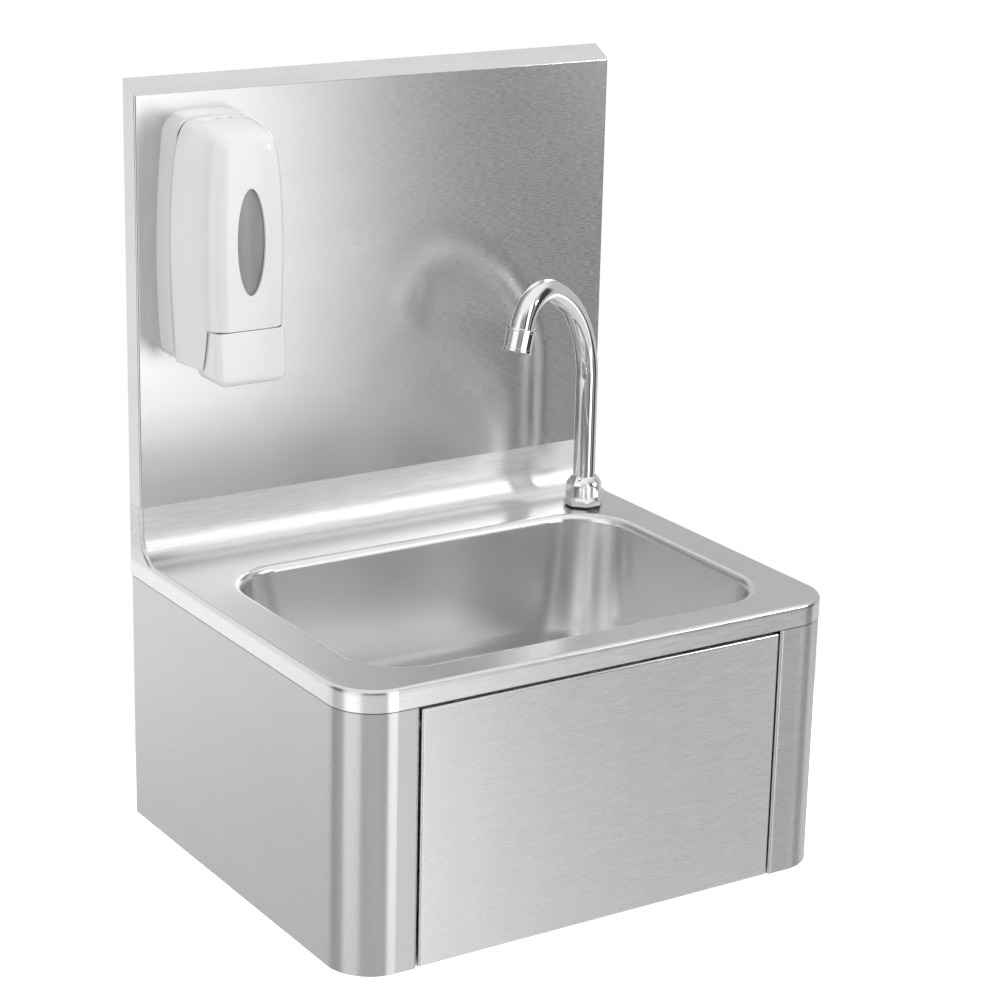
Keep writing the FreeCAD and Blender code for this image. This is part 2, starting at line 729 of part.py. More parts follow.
def bush_radius():
    return PIN_R + RUNNING_FIT + BUSH_WALL


def pin_length():
    return COLUMN_IN + SHEET - PANEL_HALF + SHEET + 2 * BUSH_HEAD + RUNNING_FIT


def hinge_pins():
    """Two headed pins, fixed in the columns' returns, that reach through the panel's flanges."""
    head_x = COLUMN_IN + SHEET
    shank = rod(Vector(head_x, PIN_Y, PIN_Z), RIGHT * -1, PIN_R, pin_length())
    head = rod(Vector(head_x, PIN_Y, PIN_Z), RIGHT, PIN_HEAD_R, PIN_HEAD)
    pin = shank.fuse(head).removeSplitter()
    return Part.makeCompound([pin, mirrored(pin)])


def hinge_bushes():
    """Plastic bushes in the panel's flanges, with their heads on the inner side."""
    flange_x = PANEL_HALF
    start = Vector(flange_x, PIN_Y, PIN_Z)
    bore = PIN_R + RUNNING_FIT
    sleeve = tube(start, RIGHT * -1, bush_radius(), bore, SHEET)
    head_start = Vector(flange_x - SHEET, PIN_Y, PIN_Z)
    head = tube(head_start, RIGHT * -1, bush_radius() + BUSH_WALL, bore, BUSH_HEAD)
    bush = sleeve.fuse(head).removeSplitter()
    return Part.makeCompound([bush, mirrored(bush)])


def pusher_pad():
    start = valve_point(PANEL_BACK)
    return rod(start, BACK, PAD_R, PAD_THICKNESS)


# ---- Knee valve ----
def valve_point(y):
    return Vector(VALVE_X, y, VALVE_Z)


def valve_rail():
    """A channel across the housing that carries the valve."""
    high = VALVE_Z + RAIL_HEIGHT / 2
    low = VALVE_Z - RAIL_HEIGHT / 2
    side_in = SIDE_OUT - SHEET
    path = [
        Vector(-side_in, RAIL_Y + RAIL_FLANGE, high),
        Vector(-side_in, RAIL_Y, high),
        Vector(-side_in, RAIL_Y, low),
        Vector(-side_in, RAIL_Y + RAIL_FLANGE, low),
    ]
    rail = sheet_face(path, SHEET, [BEND, BEND], RIGHT).extrude(RIGHT * (2 * side_in))
    hole = rod(valve_point(RAIL_Y - SHEET), BACK, NECK_R + RUNNING_FIT, 3 * SHEET)
    return rail.cut(hole)


def valve_body():
    shoulder = prism(valve_point(RAIL_BACK), BACK, SHOULDER_FLATS, 6, SHOULDER_LENGTH)
    neck_front = RAIL_Y - NECK_LENGTH
    neck = rod(valve_point(neck_front), BACK, NECK_R, RAIL_BACK - neck_front)
    barrel = rod(valve_point(RAIL_BACK + SHOULDER_LENGTH), BACK, VALVE_R, VALVE_LENGTH)
    body = shoulder.fuse(neck).fuse(barrel)
    nipple = rod(valve_point(VALVE_END), BACK, NIPPLE_R, NIPPLE_LENGTH)
    body = body.fuse(nipple)
    boss_start = Vector(VALVE_X - SIDE_BOSS_REACH, SIDE_BOSS_Y, VALVE_Z)
    body = body.fuse(rod(boss_start, RIGHT, SIDE_BOSS_R, 2 * SIDE_BOSS_REACH))
    bore_end = neck_front + stem_length() + THROUGH
    bore_start = valve_point(neck_front - THROUGH)
    bore = rod(bore_start, BACK, STEM_R + RUNNING_FIT, bore_end - neck_front + THROUGH)
    water_start = valve_point(bore_end)
    water_length = VALVE_END + NIPPLE_LENGTH - bore_end + THROUGH
    water = rod(water_start, BACK, HOSE_BORE_R, water_length)
    cross = rod(
        Vector(VALVE_X - SIDE_BOSS_REACH - THROUGH, SIDE_BOSS_Y, VALVE_Z),
        RIGHT,
        WATER_BORE_R,
        2 * SIDE_BOSS_REACH + 2 * THROUGH,
    )
    return body.cut(bore).cut(water).cut(cross).removeSplitter()


def stem_length():
    """The part of the button's stem that runs in the valve when the button is out."""
    return NECK_LENGTH + SHOULDER_LENGTH


def valve_washer():
    start = valve_point(RAIL_Y)
    return tube(start, BACK * -1, LOCKNUT_FLATS / 2, NECK_R + RUNNING_FIT, VALVE_WASHER)


def valve_locknut():
    start = valve_point(RAIL_Y - VALVE_WASHER)
    nut = prism(start, BACK * -1, LOCKNUT_FLATS, 6, LOCKNUT_LENGTH)
    return nut.cut(rod(start + BACK, BACK * -1, NECK_R + RUNNING_FIT, LOCKNUT_LENGTH + THROUGH))


def button_tip():
    return PANEL_BACK + PAD_THICKNESS + REST_GAP


def button_seat():
    return button_tip() + BUTTON_DOME + BUTTON_RIM


def valve_button():
    """A domed head on a stem that slides in the valve's neck."""
    rim = rod(valve_point(button_tip() + BUTTON_DOME), BACK, BUTTON_R, BUTTON_RIM)
    sphere_r = (BUTTON_R**2 + BUTTON_DOME**2) / (2 * BUTTON_DOME)
    sphere = Part.makeSphere(sphere_r, valve_point(button_tip() + sphere_r))
    dome_block = rod(valve_point(button_tip() - THROUGH), BACK, BUTTON_R, BUTTON_DOME + THROUGH)
    dome = sphere.common(dome_block)
    stem_end = RAIL_Y - NECK_LENGTH + stem_length() - BUTTON_STROKE
    stem = rod(valve_point(button_seat()), BACK, STEM_R, stem_end - button_seat())
    return rim.fuse(dome).fuse(stem).removeSplitter()


def valve_spring():
    seat = button_seat()
    length = RAIL_Y - NECK_LENGTH - seat
    return helix_spring(
        valve_point(seat), BACK, SPRING_R, SPRING_WIRE / 2, length, SPRING_TURNS
    )


def inlet_x(sign):
    return VALVE_X + sign * INLET_SPREAD


def inlet_elbow(sign):
    """A bend from the valve's side boss down to the check valve."""
    reach = INLET_SPREAD - SIDE_BOSS_REACH
    start = Vector(VALVE_X - SIDE_BOSS_REACH, SIDE_BOSS_Y, VALVE_Z)
    corner = Vector(inlet_x(-1), SIDE_BOSS_Y, VALVE_Z)
    arm = rod(start, RIGHT * -1, ELBOW_R, reach)
    half = ELBOW_BLOCK
    block = box(
        corner.x - half, corner.x + half, corner.y - half, corner.y + half,
        corner.z - half, corner.z + half,
    )
    leg = rod(corner, UP * -1, ELBOW_R, ELBOW_DROP)
    arm_start = start + RIGHT * THROUGH
    arm_length = reach + THROUGH + WATER_BORE_R
    arm_bore = rod(arm_start, RIGHT * -1, WATER_BORE_R, arm_length)
    leg_bore = rod(corner, UP * -1, ELBOW_LEG_BORE_R, ELBOW_DROP + THROUGH)
    elbow = block.fuse(arm).fuse(leg).cut(arm_bore).cut(leg_bore).removeSplitter()
    return elbow if sign < 0 else elbow.mirror(valve_point(0), RIGHT)


def check_valve(sign):
    """A one-way valve with a male thread that points down."""
    top = Vector(inlet_x(sign), SIDE_BOSS_Y, VALVE_Z - ELBOW_DROP)
    body = prism(top, UP * -1, CHECK_HEX, 6, CHECK_HEX_LENGTH)
    thread_top = top - UP * CHECK_HEX_LENGTH
    body = body.fuse(rod(thread_top, UP * -1, INLET_THREAD_R, INLET_THREAD_LENGTH))
    length = CHECK_HEX_LENGTH + INLET_THREAD_LENGTH + 2 * THROUGH
    return body.cut(rod(top + UP * THROUGH, UP * -1, INLET_BORE_R, length)).removeSplitter()


# ---- Supply hose ----
def hose_points():
    return [
        valve_point(HOSE_START_Y),
        Vector(VALVE_X, HOSE_START_Y + HOSE_RUN, VALVE_Z),
        Vector(VALVE_X + HOSE_SIDE, HOSE_SIDE_Y, VALVE_Z + HOSE_SIDE_LIFT),
        Vector(SPOUT_X, SPOUT_Y, HOSE_END_Z - HOSE_HANG),
        Vector(SPOUT_X, SPOUT_Y, HOSE_END_Z),
    ]


def hose_edges():
    points = hose_points()
    radii = [0.0] * len(points)
    for k in range(1, len(points) - 1):
        before = points[k] - points[k - 1]
        after = points[k + 1] - points[k]
        half_turn = before.getAngle(after) / 2
        radii[k] = HOSE_BEND_SHARE * min(before.Length, after.Length) / math.tan(half_turn)
    print("supply hose radii", [round(radius, 1) for radius in radii[1:-1]])
    return path_edges(points, radii, False)


def supply_hose():
    edges = hose_edges()
    length = sum(edge.Length for edge in edges)
    hose = pipe(edges, HOSE_R).cut(pipe(edges, HOSE_BORE_R))
    section = math.pi * (HOSE_R**2 - HOSE_BORE_R**2)
    print("supply hose length", round(length, 1))
    print("supply hose volume", round(hose.Volume, 1), round(section * length, 1))
    return hose


def hose_end(start, direction):
    """A union nut and the ferrule crimped over the hose; start is where the nut begins."""
    nut = prism(start, direction, HOSE_NUT_FLATS, 6, HOSE_NUT_LENGTH)
    nut = nut.cut(rod(start, direction, NIPPLE_R + RUNNING_FIT, NIPPLE_LENGTH))
    nut = nut.cut(rod(start, direction, HOSE_BORE_R, HOSE_NUT_LENGTH + THROUGH))
    ferrule_start = start + direction * HOSE_NUT_LENGTH
    ferrule = tube(ferrule_start, direction, FERRULE_R, HOSE_BORE_R, FERRULE_LENGTH)
    return nut.fuse(ferrule).removeSplitter()


def hose_fittings():
    lower = hose_end(valve_point(VALVE_END), BACK)
    upper = hose_end(spout_point(SHANK_END + HOSE_NUT_LENGTH), UP * -1)
    return Part.makeCompound([lower, upper])


# ---- Spout ----
def spout_point(z):
    return Vector(SPOUT_X, SPOUT_Y, z)


def ring_top():
    return RIM + SPOUT_GASKET + SPOUT_FLANGE


def deck_gasket():
    return tube(spout_point(RIM), UP, SPOUT_GASKET_R, SHANK_R + RUNNING_FIT, SPOUT_GASKET)


def spout_base():
    """The faceted ring on the deck, its threaded shank and the nipple for the hose."""
    ring = prism(
        spout_point(RIM + SPOUT_GASKET), UP, 2 * SPOUT_FLANGE_R, SPOUT_SIDES, SPOUT_FLANGE
    )
    cone = Part.makeCone(
        SPOUT_FLANGE_R + SPOUT_FLANGE_FLARE,
        SPOUT_FLANGE_R - SPOUT_FLANGE_TAPER,
        SPOUT_FLANGE,
        spout_point(RIM + SPOUT_GASKET),
        UP,
    )
    ring = ring.common(cone)
    nipple_top = SHANK_END + HOSE_NUT_LENGTH
    shank = rod(spout_point(nipple_top), UP, SHANK_R, RIM + SPOUT_GASKET - nipple_top)
    nipple = rod(spout_point(nipple_top), UP * -1, NIPPLE_R, NIPPLE_LENGTH)
    body = ring.fuse(shank).fuse(nipple)
    bore_low = ring_top() - TUBE_STUB_LENGTH - THROUGH
    bore = rod(spout_point(bore_low), UP, SHANK_BORE_R, ring_top() - bore_low + THROUGH)
    water_low = nipple_top - NIPPLE_LENGTH - THROUGH
    water = rod(spout_point(water_low), UP, HOSE_BORE_R, bore_low - water_low + THROUGH)
    return body.cut(bore).cut(water).removeSplitter()


def spout_washer():
    start = spout_point(RIM - SHEET)
    return tube(start, UP * -1, BACK_WASHER_R, SHANK_R + RUNNING_FIT, BACK_WASHER)


def spout_backnut():
    start = spout_point(RIM - SHEET - BACK_WASHER)
    nut = prism(start, UP * -1, BACKNUT_FLATS, 6, BACKNUT_LENGTH)
    return nut.cut(rod(start + UP, UP * -1, SHANK_R + RUNNING_FIT, BACKNUT_LENGTH + THROUGH))


def spout_nut():
    """The union nut: flats below, a domed shoulder above, over the tube's collar."""
    low = ring_top()
    shoulder = low + SPOUT_NUT_FLAT
    flats = prism(spout_point(low), UP, 2 * SPOUT_NUT_R, SPOUT_SIDES, SPOUT_NUT_FLAT)
    bore_r = TUBE_R + RUNNING_FIT
    dome = Part.makeCone(
        SPOUT_NUT_R, bore_r + SPOUT_NUT_LIP, SPOUT_NUT_DOME, spout_point(shoulder), UP
    )
    nut = flats.fuse(dome)
    collar_room = rod(
        spout_point(low - THROUGH),
        UP,
        COLLAR_R + RUNNING_FIT,
        COLLAR_LENGTH + RUNNING_FIT + THROUGH,
    )
    height = SPOUT_NUT_FLAT + SPOUT_NUT_DOME
    return nut.cut(collar_room).cut(
        rod(spout_point(low), UP, bore_r, height + THROUGH)
    ).removeSplitter()


def spout_direction():
    angle = math.radians(SPOUT_AZIMUTH)
    return Vector(math.cos(angle), math.sin(angle), 0)


def spout_course():
    """The tube's centreline: a straight riser, a wide bend, a tight bend and a short end."""
    out = spout_direction()
    turn_1 = math.radians(TUBE_TURN_1)
    turn_all = turn_1 + math.radians(TUBE_TURN_2)
    start = spout_point(ring_top())
    riser_end = spout_point(RIM + TUBE_STRAIGHT)
    centre_1 = riser_end + out * TUBE_BEND_1

    def on_arc(centre, radius, angle):
        return centre - out * (radius * math.cos(angle)) + UP * (radius * math.sin(angle))

    join = on_arc(centre_1, TUBE_BEND_1, turn_1)
    centre_2 = on_arc(centre_1, TUBE_BEND_1 - TUBE_BEND_2, turn_1)
    bend_end = on_arc(centre_2, TUBE_BEND_2, turn_all)
    heading = out * math.sin(turn_all) + UP * math.cos(turn_all)
    tip = bend_end + heading * TUBE_END
    middle_1 = on_arc(centre_1, TUBE_BEND_1, turn_1 / 2)
    middle_2 = on_arc(centre_2, TUBE_BEND_2, (turn_1 + turn_all) / 2)
    edges = [
        Part.LineSegment(start, riser_end).toShape(),
        Part.Arc(riser_end, middle_1, join).toShape(),
        Part.Arc(join, middle_2, bend_end).toShape(),
    ]
    return edges, bend_end, heading, tip


def spout_tube():
    edges, bend_end, heading, tip = spout_course()
    aerator_start = tip - heading * (AERATOR_LENGTH - AERATOR_GRIP)
    edges.append(Part.LineSegment(bend_end, aerator_start).toShape())
    solid = pipe(edges, TUBE_R)
    solid = solid.fuse(rod(spout_point(ring_top()), UP, COLLAR_R, COLLAR_LENGTH))
    stub = rod(
        spout_point(ring_top() - TUBE_STUB_LENGTH), UP, TUBE_STUB_R, TUBE_STUB_LENGTH
    )
    for level in ring_levels():
        groove = tube(
            spout_point(level - O_RING_WIRE / 2),
            UP,
            TUBE_STUB_R + THROUGH,
            TUBE_STUB_R - O_RING_WIRE,
            O_RING_WIRE,
        )
        stub = stub.cut(groove)
    solid = solid.fuse(stub)
    collar_room = rod(spout_point(ring_top()), UP, COLLAR_R, COLLAR_LENGTH)
    bore = pipe(edges, TUBE_R - TUBE_WALL).cut(collar_room)
    stub_bore = rod(
        spout_point(ring_top() - TUBE_STUB_LENGTH - THROUGH),
        UP,
        TUBE_STUB_BORE_R,
        TUBE_STUB_LENGTH + COLLAR_LENGTH + 2 * THROUGH,
    )
    return solid.cut(bore).cut(stub_bore).removeSplitter()


def ring_levels():
    low = ring_top() - TUBE_STUB_LENGTH
    return [low + rise for rise in O_RING_RISES]


def o_rings():
    """Seals on the tube's stub; they stop short of the bore by the running fit."""
    rings = []
    for level in ring_levels():
        start = spout_point(level - O_RING_WIRE / 2)
        outer = SHANK_BORE_R - RUNNING_FIT
        rings.append(tube(start, UP, outer, TUBE_STUB_R - O_RING_WIRE, O_RING_WIRE))
    return Part.makeCompound(rings)


def aerator_housing():
    heading, tip = spout_course()[2:]
    start = tip - heading * AERATOR_LENGTH
    shell = rod(start, heading, AERATOR_R, AERATOR_LENGTH)
    rims = [edge for edge in shell.Edges if edge.Closed]
    shell = shell.makeFillet(AERATOR_WALL / 2, rims)
    socket = rod(start - heading, heading, TUBE_R + RUNNING_FIT, AERATOR_GRIP + 1)
    room_r = AERATOR_R - AERATOR_WALL
    room_start = tip - heading * AERATOR_INSERT
    room = rod(room_start, heading, room_r, AERATOR_INSERT + THROUGH)
    bore = rod(start, heading, TUBE_R - TUBE_WALL, AERATOR_LENGTH)
    return shell.cut(socket).cut(room).cut(bore).removeSplitter()


def aerator_insert():
    """The plastic cartridge with its outlet slots, set just inside the rim."""
    heading, tip = spout_course()[2:]
    start = tip - heading * AERATOR_INSERT
    length = AERATOR_INSERT - AERATOR_WALL
    radius = AERATOR_R - AERATOR_WALL
    insert = rod(start, heading, radius, length)
    side = heading.cross(UP).normalize()
    other = heading.cross(side)
    for k in range(AERATOR_HOLES):
        angle = 2 * math.pi * k / AERATOR_HOLES
        offset = (side * math.cos(angle) + other * math.sin(angle)) * AERATOR_RING_R
        hole = rod(start - heading + offset, heading, AERATOR_HOLE_R, length + THROUGH)
        insert = insert.cut(hole)
    return insert


# ---- Soap dispenser ----
def soap_outline(inset, y, depth):
    """The barrel-shaped front outline, drawn in by inset, as a body that runs in -Y."""
    low = SOAP_Z + inset
    high = SOAP_Z + SOAP_HEIGHT - inset
    bottom = SOAP_HALF_BOTTOM - inset
    middle = SOAP_HALF_MID - inset
    top = SOAP_HALF_TOP - inset

    def at(x, z):
        return Vector(SOAP_X + x, y, z)

    edges = [
        Part.LineSegment(at(-bottom, low), at(bottom, low)).toShape(),
        Part.Arc(at(bottom, low), at(middle, SOAP_Z + SOAP_MID), at(top, high)).toShape(),
        Part.Arc(at(top, high), at(0, high + SOAP_CROWN), at(-top, high)).toShape(),
        Part.Arc(at(-top, high), at(-middle, SOAP_Z + SOAP_MID), at(-bottom, low)).toShape(),
    ]
    body = Part.Face(Part.Wire(edges)).extrude(BACK * -depth)
    corners = {low: SOAP_BOTTOM_CORNER - inset, high: SOAP_TOP_CORNER - inset}
    for level, radius in corners.items():
        ends = edges_where(body, lambda p, level=level: near(p.z, level))
        body = body.makeFillet(radius, parallel(ends, BACK))
    return body


def soap_plan(inset, extra):
    """The plan of the cover: narrower in front, with rounded corners."""
    wide = SOAP_HALF_MID - SOAP_STEP - inset
    narrow = SOAP_FRONT_HALF - inset
    front = SOAP_FRONT + inset
    corners = [(-wide, SOAP_EDGE + extra), (-narrow, front), (narrow, front)]
    corners.append((wide, SOAP_EDGE + extra))
    points = [Vector(SOAP_X + x, y, SOAP_Z - THROUGH) for x, y in corners]
    radius = SOAP_FRONT_CORNER - inset
    face = Part.Face(outline(points, [0, radius, radius, 0]))
    return face.extrude(UP * (SOAP_HEIGHT + SOAP_CROWN + 2 * THROUGH))


def soap_side(inset, extra):
    """The cover's side view: a bulged face and a top that falls to the front."""
    low = SOAP_Z + inset
    high = SOAP_Z + SOAP_HEIGHT + SOAP_CROWN - inset
    front = SOAP_FRONT + inset
    section = [
        (SOAP_EDGE + extra, low),
        (front + SOAP_BULGE, low),
        (front, SOAP_Z + SOAP_MID),
        (front + SOAP_BULGE, high - SOAP_TOP_FALL),
        (SOAP_EDGE + extra, high),
    ]
    left = SOAP_X - SOAP_HALF_MID
    points = [Vector(left, y, z) for y, z in section]
    bulge_r = SOAP_MID**2 / (4 * SOAP_BULGE)
    radii = [0, 0, bulge_r, SOAP_TOP_CORNER - inset, 0]
    return Part.Face(outline(points, radii)).extrude(RIGHT * (2 * SOAP_HALF_MID))


def cover_volume(inset):
    extra = THROUGH if inset else -SOAP_PARTING
    body = soap_outline(SOAP_STEP + inset, SOAP_Y, SOAP_DEPTH + THROUGH)
    return body.common(soap_plan(inset, extra)).common(soap_side(SOAP_STEP + inset, extra))


def soap_box(low_x, high_x, low_y, high_y, low_rise, high_rise):
    """A box measured from the dispenser's middle in x and from its lower edge in z."""
    return box(
        SOAP_X + low_x, SOAP_X + high_x, low_y, high_y, SOAP_Z + low_rise, SOAP_Z + high_rise
    )


def both_sides(inner, outer):
    """The two spans of x, left and right, that lie between inner and outer."""
    return [(-outer, -inner), (inner, outer)]


def dispenser_back():
    """The shell screwed to the splashback, with the shelf and the hinge ears."""
    outer = soap_outline(0.0, SOAP_Y, SOAP_BACK_DEPTH)
    inner = soap_outline(SOAP_WALL, SOAP_Y - SOAP_WALL, SOAP_BACK_DEPTH)
    back_wall = SOAP_Y - SOAP_WALL
    shelf_front = PUMP_Y - PUMP_FLANGE_R - SHELF_MARGIN
    shelf_top = SHELF_RISE + SHELF
    shelf = soap_box(-SHELF_HALF, SHELF_HALF, shelf_front, back_wall, SHELF_RISE, shelf_top)
    shell = outer.cut(inner).fuse(shelf)
    for span in both_sides(HINGE_X, HINGE_X + HINGE_EAR):
        shell = shell.fuse(hinge_ear(span, back_wall))
    for rise in (SOAP_SCREW_LOW, SOAP_SCREW_HIGH):
        start = Vector(SOAP_X, SOAP_Y + THROUGH, SOAP_Z + rise)
        hole_length = SOAP_WALL + 2 * THROUGH
        shell = shell.cut(rod(start, BACK * -1, SOAP_SCREW_R + RUNNING_FIT, hole_length))
    pump_low = pump_point(SHELF_RISE - THROUGH)
    pump_hole = rod(pump_low, UP, PUMP_R + RUNNING_FIT, SHELF + 2 * THROUGH)
    return shell.cut(pump_hole).cut(hinge_rod(HINGE_PIN_R)).removeSplitter()


def hinge_ear(span, end_y):
    """A flat ear round the cover's hinge axis that runs to end_y."""
    centre = Vector(SOAP_X + span[0], HINGE_Y, SOAP_Z + HINGE_RISE)
    knuckle = rod(centre, RIGHT, HINGE_KNUCKLE_R, span[1] - span[0])
    low_y, high_y = sorted((HINGE_Y, end_y))
    low = HINGE_RISE - HINGE_KNUCKLE_R
    high = HINGE_RISE + HINGE_KNUCKLE_R
    return knuckle.fuse(soap_box(span[0], span[1], low_y, high_y, low, high))


def hinge_reach():
    return HINGE_X + 2 * HINGE_EAR + HINGE_SIDE_GAP


def hinge_rod(radius):
    start = Vector(SOAP_X - hinge_reach(), HINGE_Y, SOAP_Z + HINGE_RISE)
    return rod(start, RIGHT, radius, 2 * hinge_reach())


def cover_hinge_pins():
    """Two short pins fixed in the back shell's ears."""
    length = hinge_reach() - HINGE_X
    start = Vector(SOAP_X + HINGE_X, HINGE_Y, SOAP_Z + HINGE_RISE)
    right = rod(start, RIGHT, HINGE_PIN_R, length)
    left = right.copy()
    left.translate(RIGHT * -(2 * HINGE_X + length))
    return Part.makeCompound([left, right])


def pump_point(rise):
    return Vector(SOAP_X, PUMP_Y, SOAP_Z + rise)


def dispenser_cover():
    """The front shell: a window hole, a cut-out for the lever and an open floor."""
    shell = cover_volume(0.0).cut(cover_volume(SOAP_WALL))
    front = SOAP_FRONT - THROUGH
    floor_front = HINGE_Y - COVER_FLOOR
    lever_room = LEVER_HALF + LEVER_GAP
    lever_top = LEVER_TOP + LEVER_GAP
    wide = SOAP_HALF_MID
    shell = shell.cut(soap_box(-lever_room, lever_room, front, floor_front, -THROUGH, lever_top))
    shell = shell.cut(soap_box(-wide, wide, front, LEVER_PIN_Y, -THROUGH, lever_top))
    shell = shell.cut(soap_box(-wide, wide, HINGE_Y, SOAP_Y, -THROUGH, HINGE_RISE))
    ear_room = HINGE_X + HINGE_EAR + HINGE_SIDE_GAP
    knuckle_room = HINGE_KNUCKLE_R + REST_GAP
    shell = shell.cut(
        soap_box(
            -ear_room,
            ear_room,
            HINGE_Y - knuckle_room,
            SOAP_Y,
            -THROUGH,
            HINGE_RISE + knuckle_room,
        )
    )
    for span in both_sides(ear_room, ear_room + HINGE_EAR):
        shell = shell.fuse(hinge_ear(span, floor_front))
    for span in both_sides(LEVER_PIN_X - HINGE_EAR, LEVER_PIN_X):
        shell = shell.fuse(lever_hanger(span))
    shell = shell.cut(hinge_rod(HINGE_PIN_R + RUNNING_FIT))
    shell = shell.cut(lever_rod(LEVER_PIN_R))
    shell = shell.cut(window_column(0.0))
    for x in (-KEY_HOLE_SPREAD, KEY_HOLE_SPREAD):
        key = Vector(SOAP_X + x, SOAP_FRONT + KEY_HOLE_BACK, SOAP_Z + SOAP_MID)
        shell = shell.cut(rod(key, UP, KEY_HOLE_R, SOAP_HEIGHT))
    return shell.removeSplitter()


def lever_hanger(span):
    """A bracket behind the cover's face, above the lever, that holds the lever's pin."""
    low_y = LEVER_PIN_Y - 2 * LEVER_PIN_R
    high_y = LEVER_PIN_Y + 2 * LEVER_PIN_R
    root = LEVER_TOP + LEVER_GAP
    face_y = SOAP_FRONT + SOAP_BULGE
    arm = soap_box(span[0], span[1], face_y, high_y, root, root + SOAP_WALL)
    low = LEVER_PIN_RISE - 2 * LEVER_PIN_R
    return arm.fuse(soap_box(span[0], span[1], low_y, high_y, low, root + SOAP_WALL))


def lever_pin_reach():
    return LEVER_HALF - LEVER_WALL / 2


def lever_rod(radius):
    start = Vector(SOAP_X - lever_pin_reach(), LEVER_PIN_Y, SOAP_Z + LEVER_PIN_RISE)
    return rod(start, RIGHT, radius, 2 * lever_pin_reach())


def window_column(grow):
    """The window's oval, grown outwards, as a body that runs back from the cover's face."""
    centre = Vector(SOAP_X, SOAP_FRONT - THROUGH, SOAP_Z + WINDOW_RISE)
    high = centre + UP * (WINDOW_HALF_Z + grow)
    side = centre + RIGHT * (WINDOW_HALF_X + grow)
    oval = Part.Ellipse(high, side, centre).toShape()
    return Part.Face(Part.Wire(oval)).extrude(BACK * WINDOW_REACH)


def dispenser_window():
    """The lens: a plug that fills the hole and a lip behind the cover's wall."""
    wall = cover_volume(0.0).cut(cover_volume(SOAP_WALL))
    behind = cover_volume(SOAP_WALL).cut(cover_volume(SOAP_WALL + WINDOW_THICK))
    plug = wall.common(window_column(-RUNNING_FIT))
    lip = behind.common(window_column(WINDOW_LIP))
    return plug.fuse(lip).removeSplitter()


def lever_volume(inset):
    """The push plate's body: its face swells towards the bottom; inset opens top and back."""
    over = THROUGH if inset else 0.0
    half = LEVER_HALF - inset
    back = SOAP_FRONT + LEVER_DEPTH + over
    top = LEVER_TOP + over
    low = inset - LEVER_DROP
    face = SOAP_FRONT + SOAP_BULGE / 2 + inset
    proud = SOAP_FRONT - LEVER_PROUD + inset
    section = [(back, low), (proud, low), (proud, LEVER_DROP), (face, top), (back, top)]
    points = [Vector(SOAP_X - half, y, SOAP_Z + rise) for y, rise in section]
    side = Part.Face(outline(points, [0, SOAP_FRONT_CORNER - inset, LEVER_SWELL_R, 0, 0]))
    side = side.extrude(RIGHT * (2 * half))
    plan_points = [(-half, back), (-half, proud), (half, proud), (half, back)]
    points = [Vector(SOAP_X + x, y, SOAP_Z + low) for x, y in plan_points]
    radius = SOAP_FRONT_CORNER - inset
    plan = Part.Face(outline(points, [0, radius, radius, 0]))
    return side.common(plan.extrude(UP * (top - low)))


def dispenser_lever():
    """The push lever: a hollow plate, two pivot bosses and a fork under the piston."""
    shell = lever_volume(0.0).cut(lever_volume(LEVER_WALL))
    boss_in = LEVER_PIN_X + HINGE_SIDE_GAP
    for span in both_sides(boss_in, LEVER_HALF - LEVER_WALL / 2):
        start = Vector(SOAP_X + span[0], LEVER_PIN_Y, SOAP_Z + LEVER_PIN_RISE)
        shell = shell.fuse(rod(start, RIGHT, 2 * LEVER_PIN_R, span[1] - span[0]))
    face_y = SOAP_FRONT - LEVER_PROUD + LEVER_WALL / 2
    rib_y = fork_rib_y()
    for span in both_sides(FORK_X, FORK_X + FORK_WIDTH):
        low = FORK_RISE - 2 * FORK_RIB_R
        arm = soap_box(span[0], span[1], face_y, rib_y, low, FORK_RISE)
        start = Vector(SOAP_X + span[0], rib_y, SOAP_Z + FORK_RISE)
        shell = shell.fuse(arm).fuse(rod(start, RIGHT, FORK_RIB_R, FORK_WIDTH))
    return shell.cut(lever_rod(LEVER_PIN_R + RUNNING_FIT)).removeSplitter()


def fork_rib_y():
    return PUMP_Y - FORK_RIB_R


def lever_pin():
    return lever_rod(LEVER_PIN_R)


def cover_latch():
    """A springy tongue under the cover's top, reached through the key holes."""
    back_wall = SOAP_Y - SOAP_WALL
    front = SOAP_EDGE - LATCH_REACH
    low = TANK_TOP + LATCH_HEIGHT
    tongue = soap_box(-LATCH_HALF, LATCH_HALF, front, back_wall, low, low + SOAP_WALL)
    tooth = soap_box(
        -LATCH_HALF, LATCH_HALF, front, front + SOAP_WALL, low, low + LATCH_HEIGHT
    )
    return tongue.fuse(tooth).removeSplitter()


def tank_volume(inset, high):
    back = SOAP_Y - SOAP_WALL - TANK_BACK_GAP - inset
    front = SOAP_Y - SOAP_WALL - TANK_BACK_GAP - TANK_DEPTH + inset
    low = SHELF_RISE + SHELF + PUMP_FLANGE + inset
    centre = Vector(SOAP_X, (back + front) / 2, SOAP_Z + low)
    loop = rounded_rectangle(
        centre, TANK_HALF - inset, (back - front) / 2, TANK_CORNER - inset
    )
    return Part.Face(loop).extrude(UP * (high - low))


def soap_tank():
    """The refill tank, open on top, that stands on the pump's flange."""
    tank = tank_volume(0.0, TANK_TOP).cut(tank_volume(TANK_WALL, TANK_TOP + THROUGH))
    outlet = rod(pump_point(SHELF_RISE), UP, PISTON_R, SHELF + PUMP_FLANGE + 2 * THROUGH)
    return tank.cut(outlet)


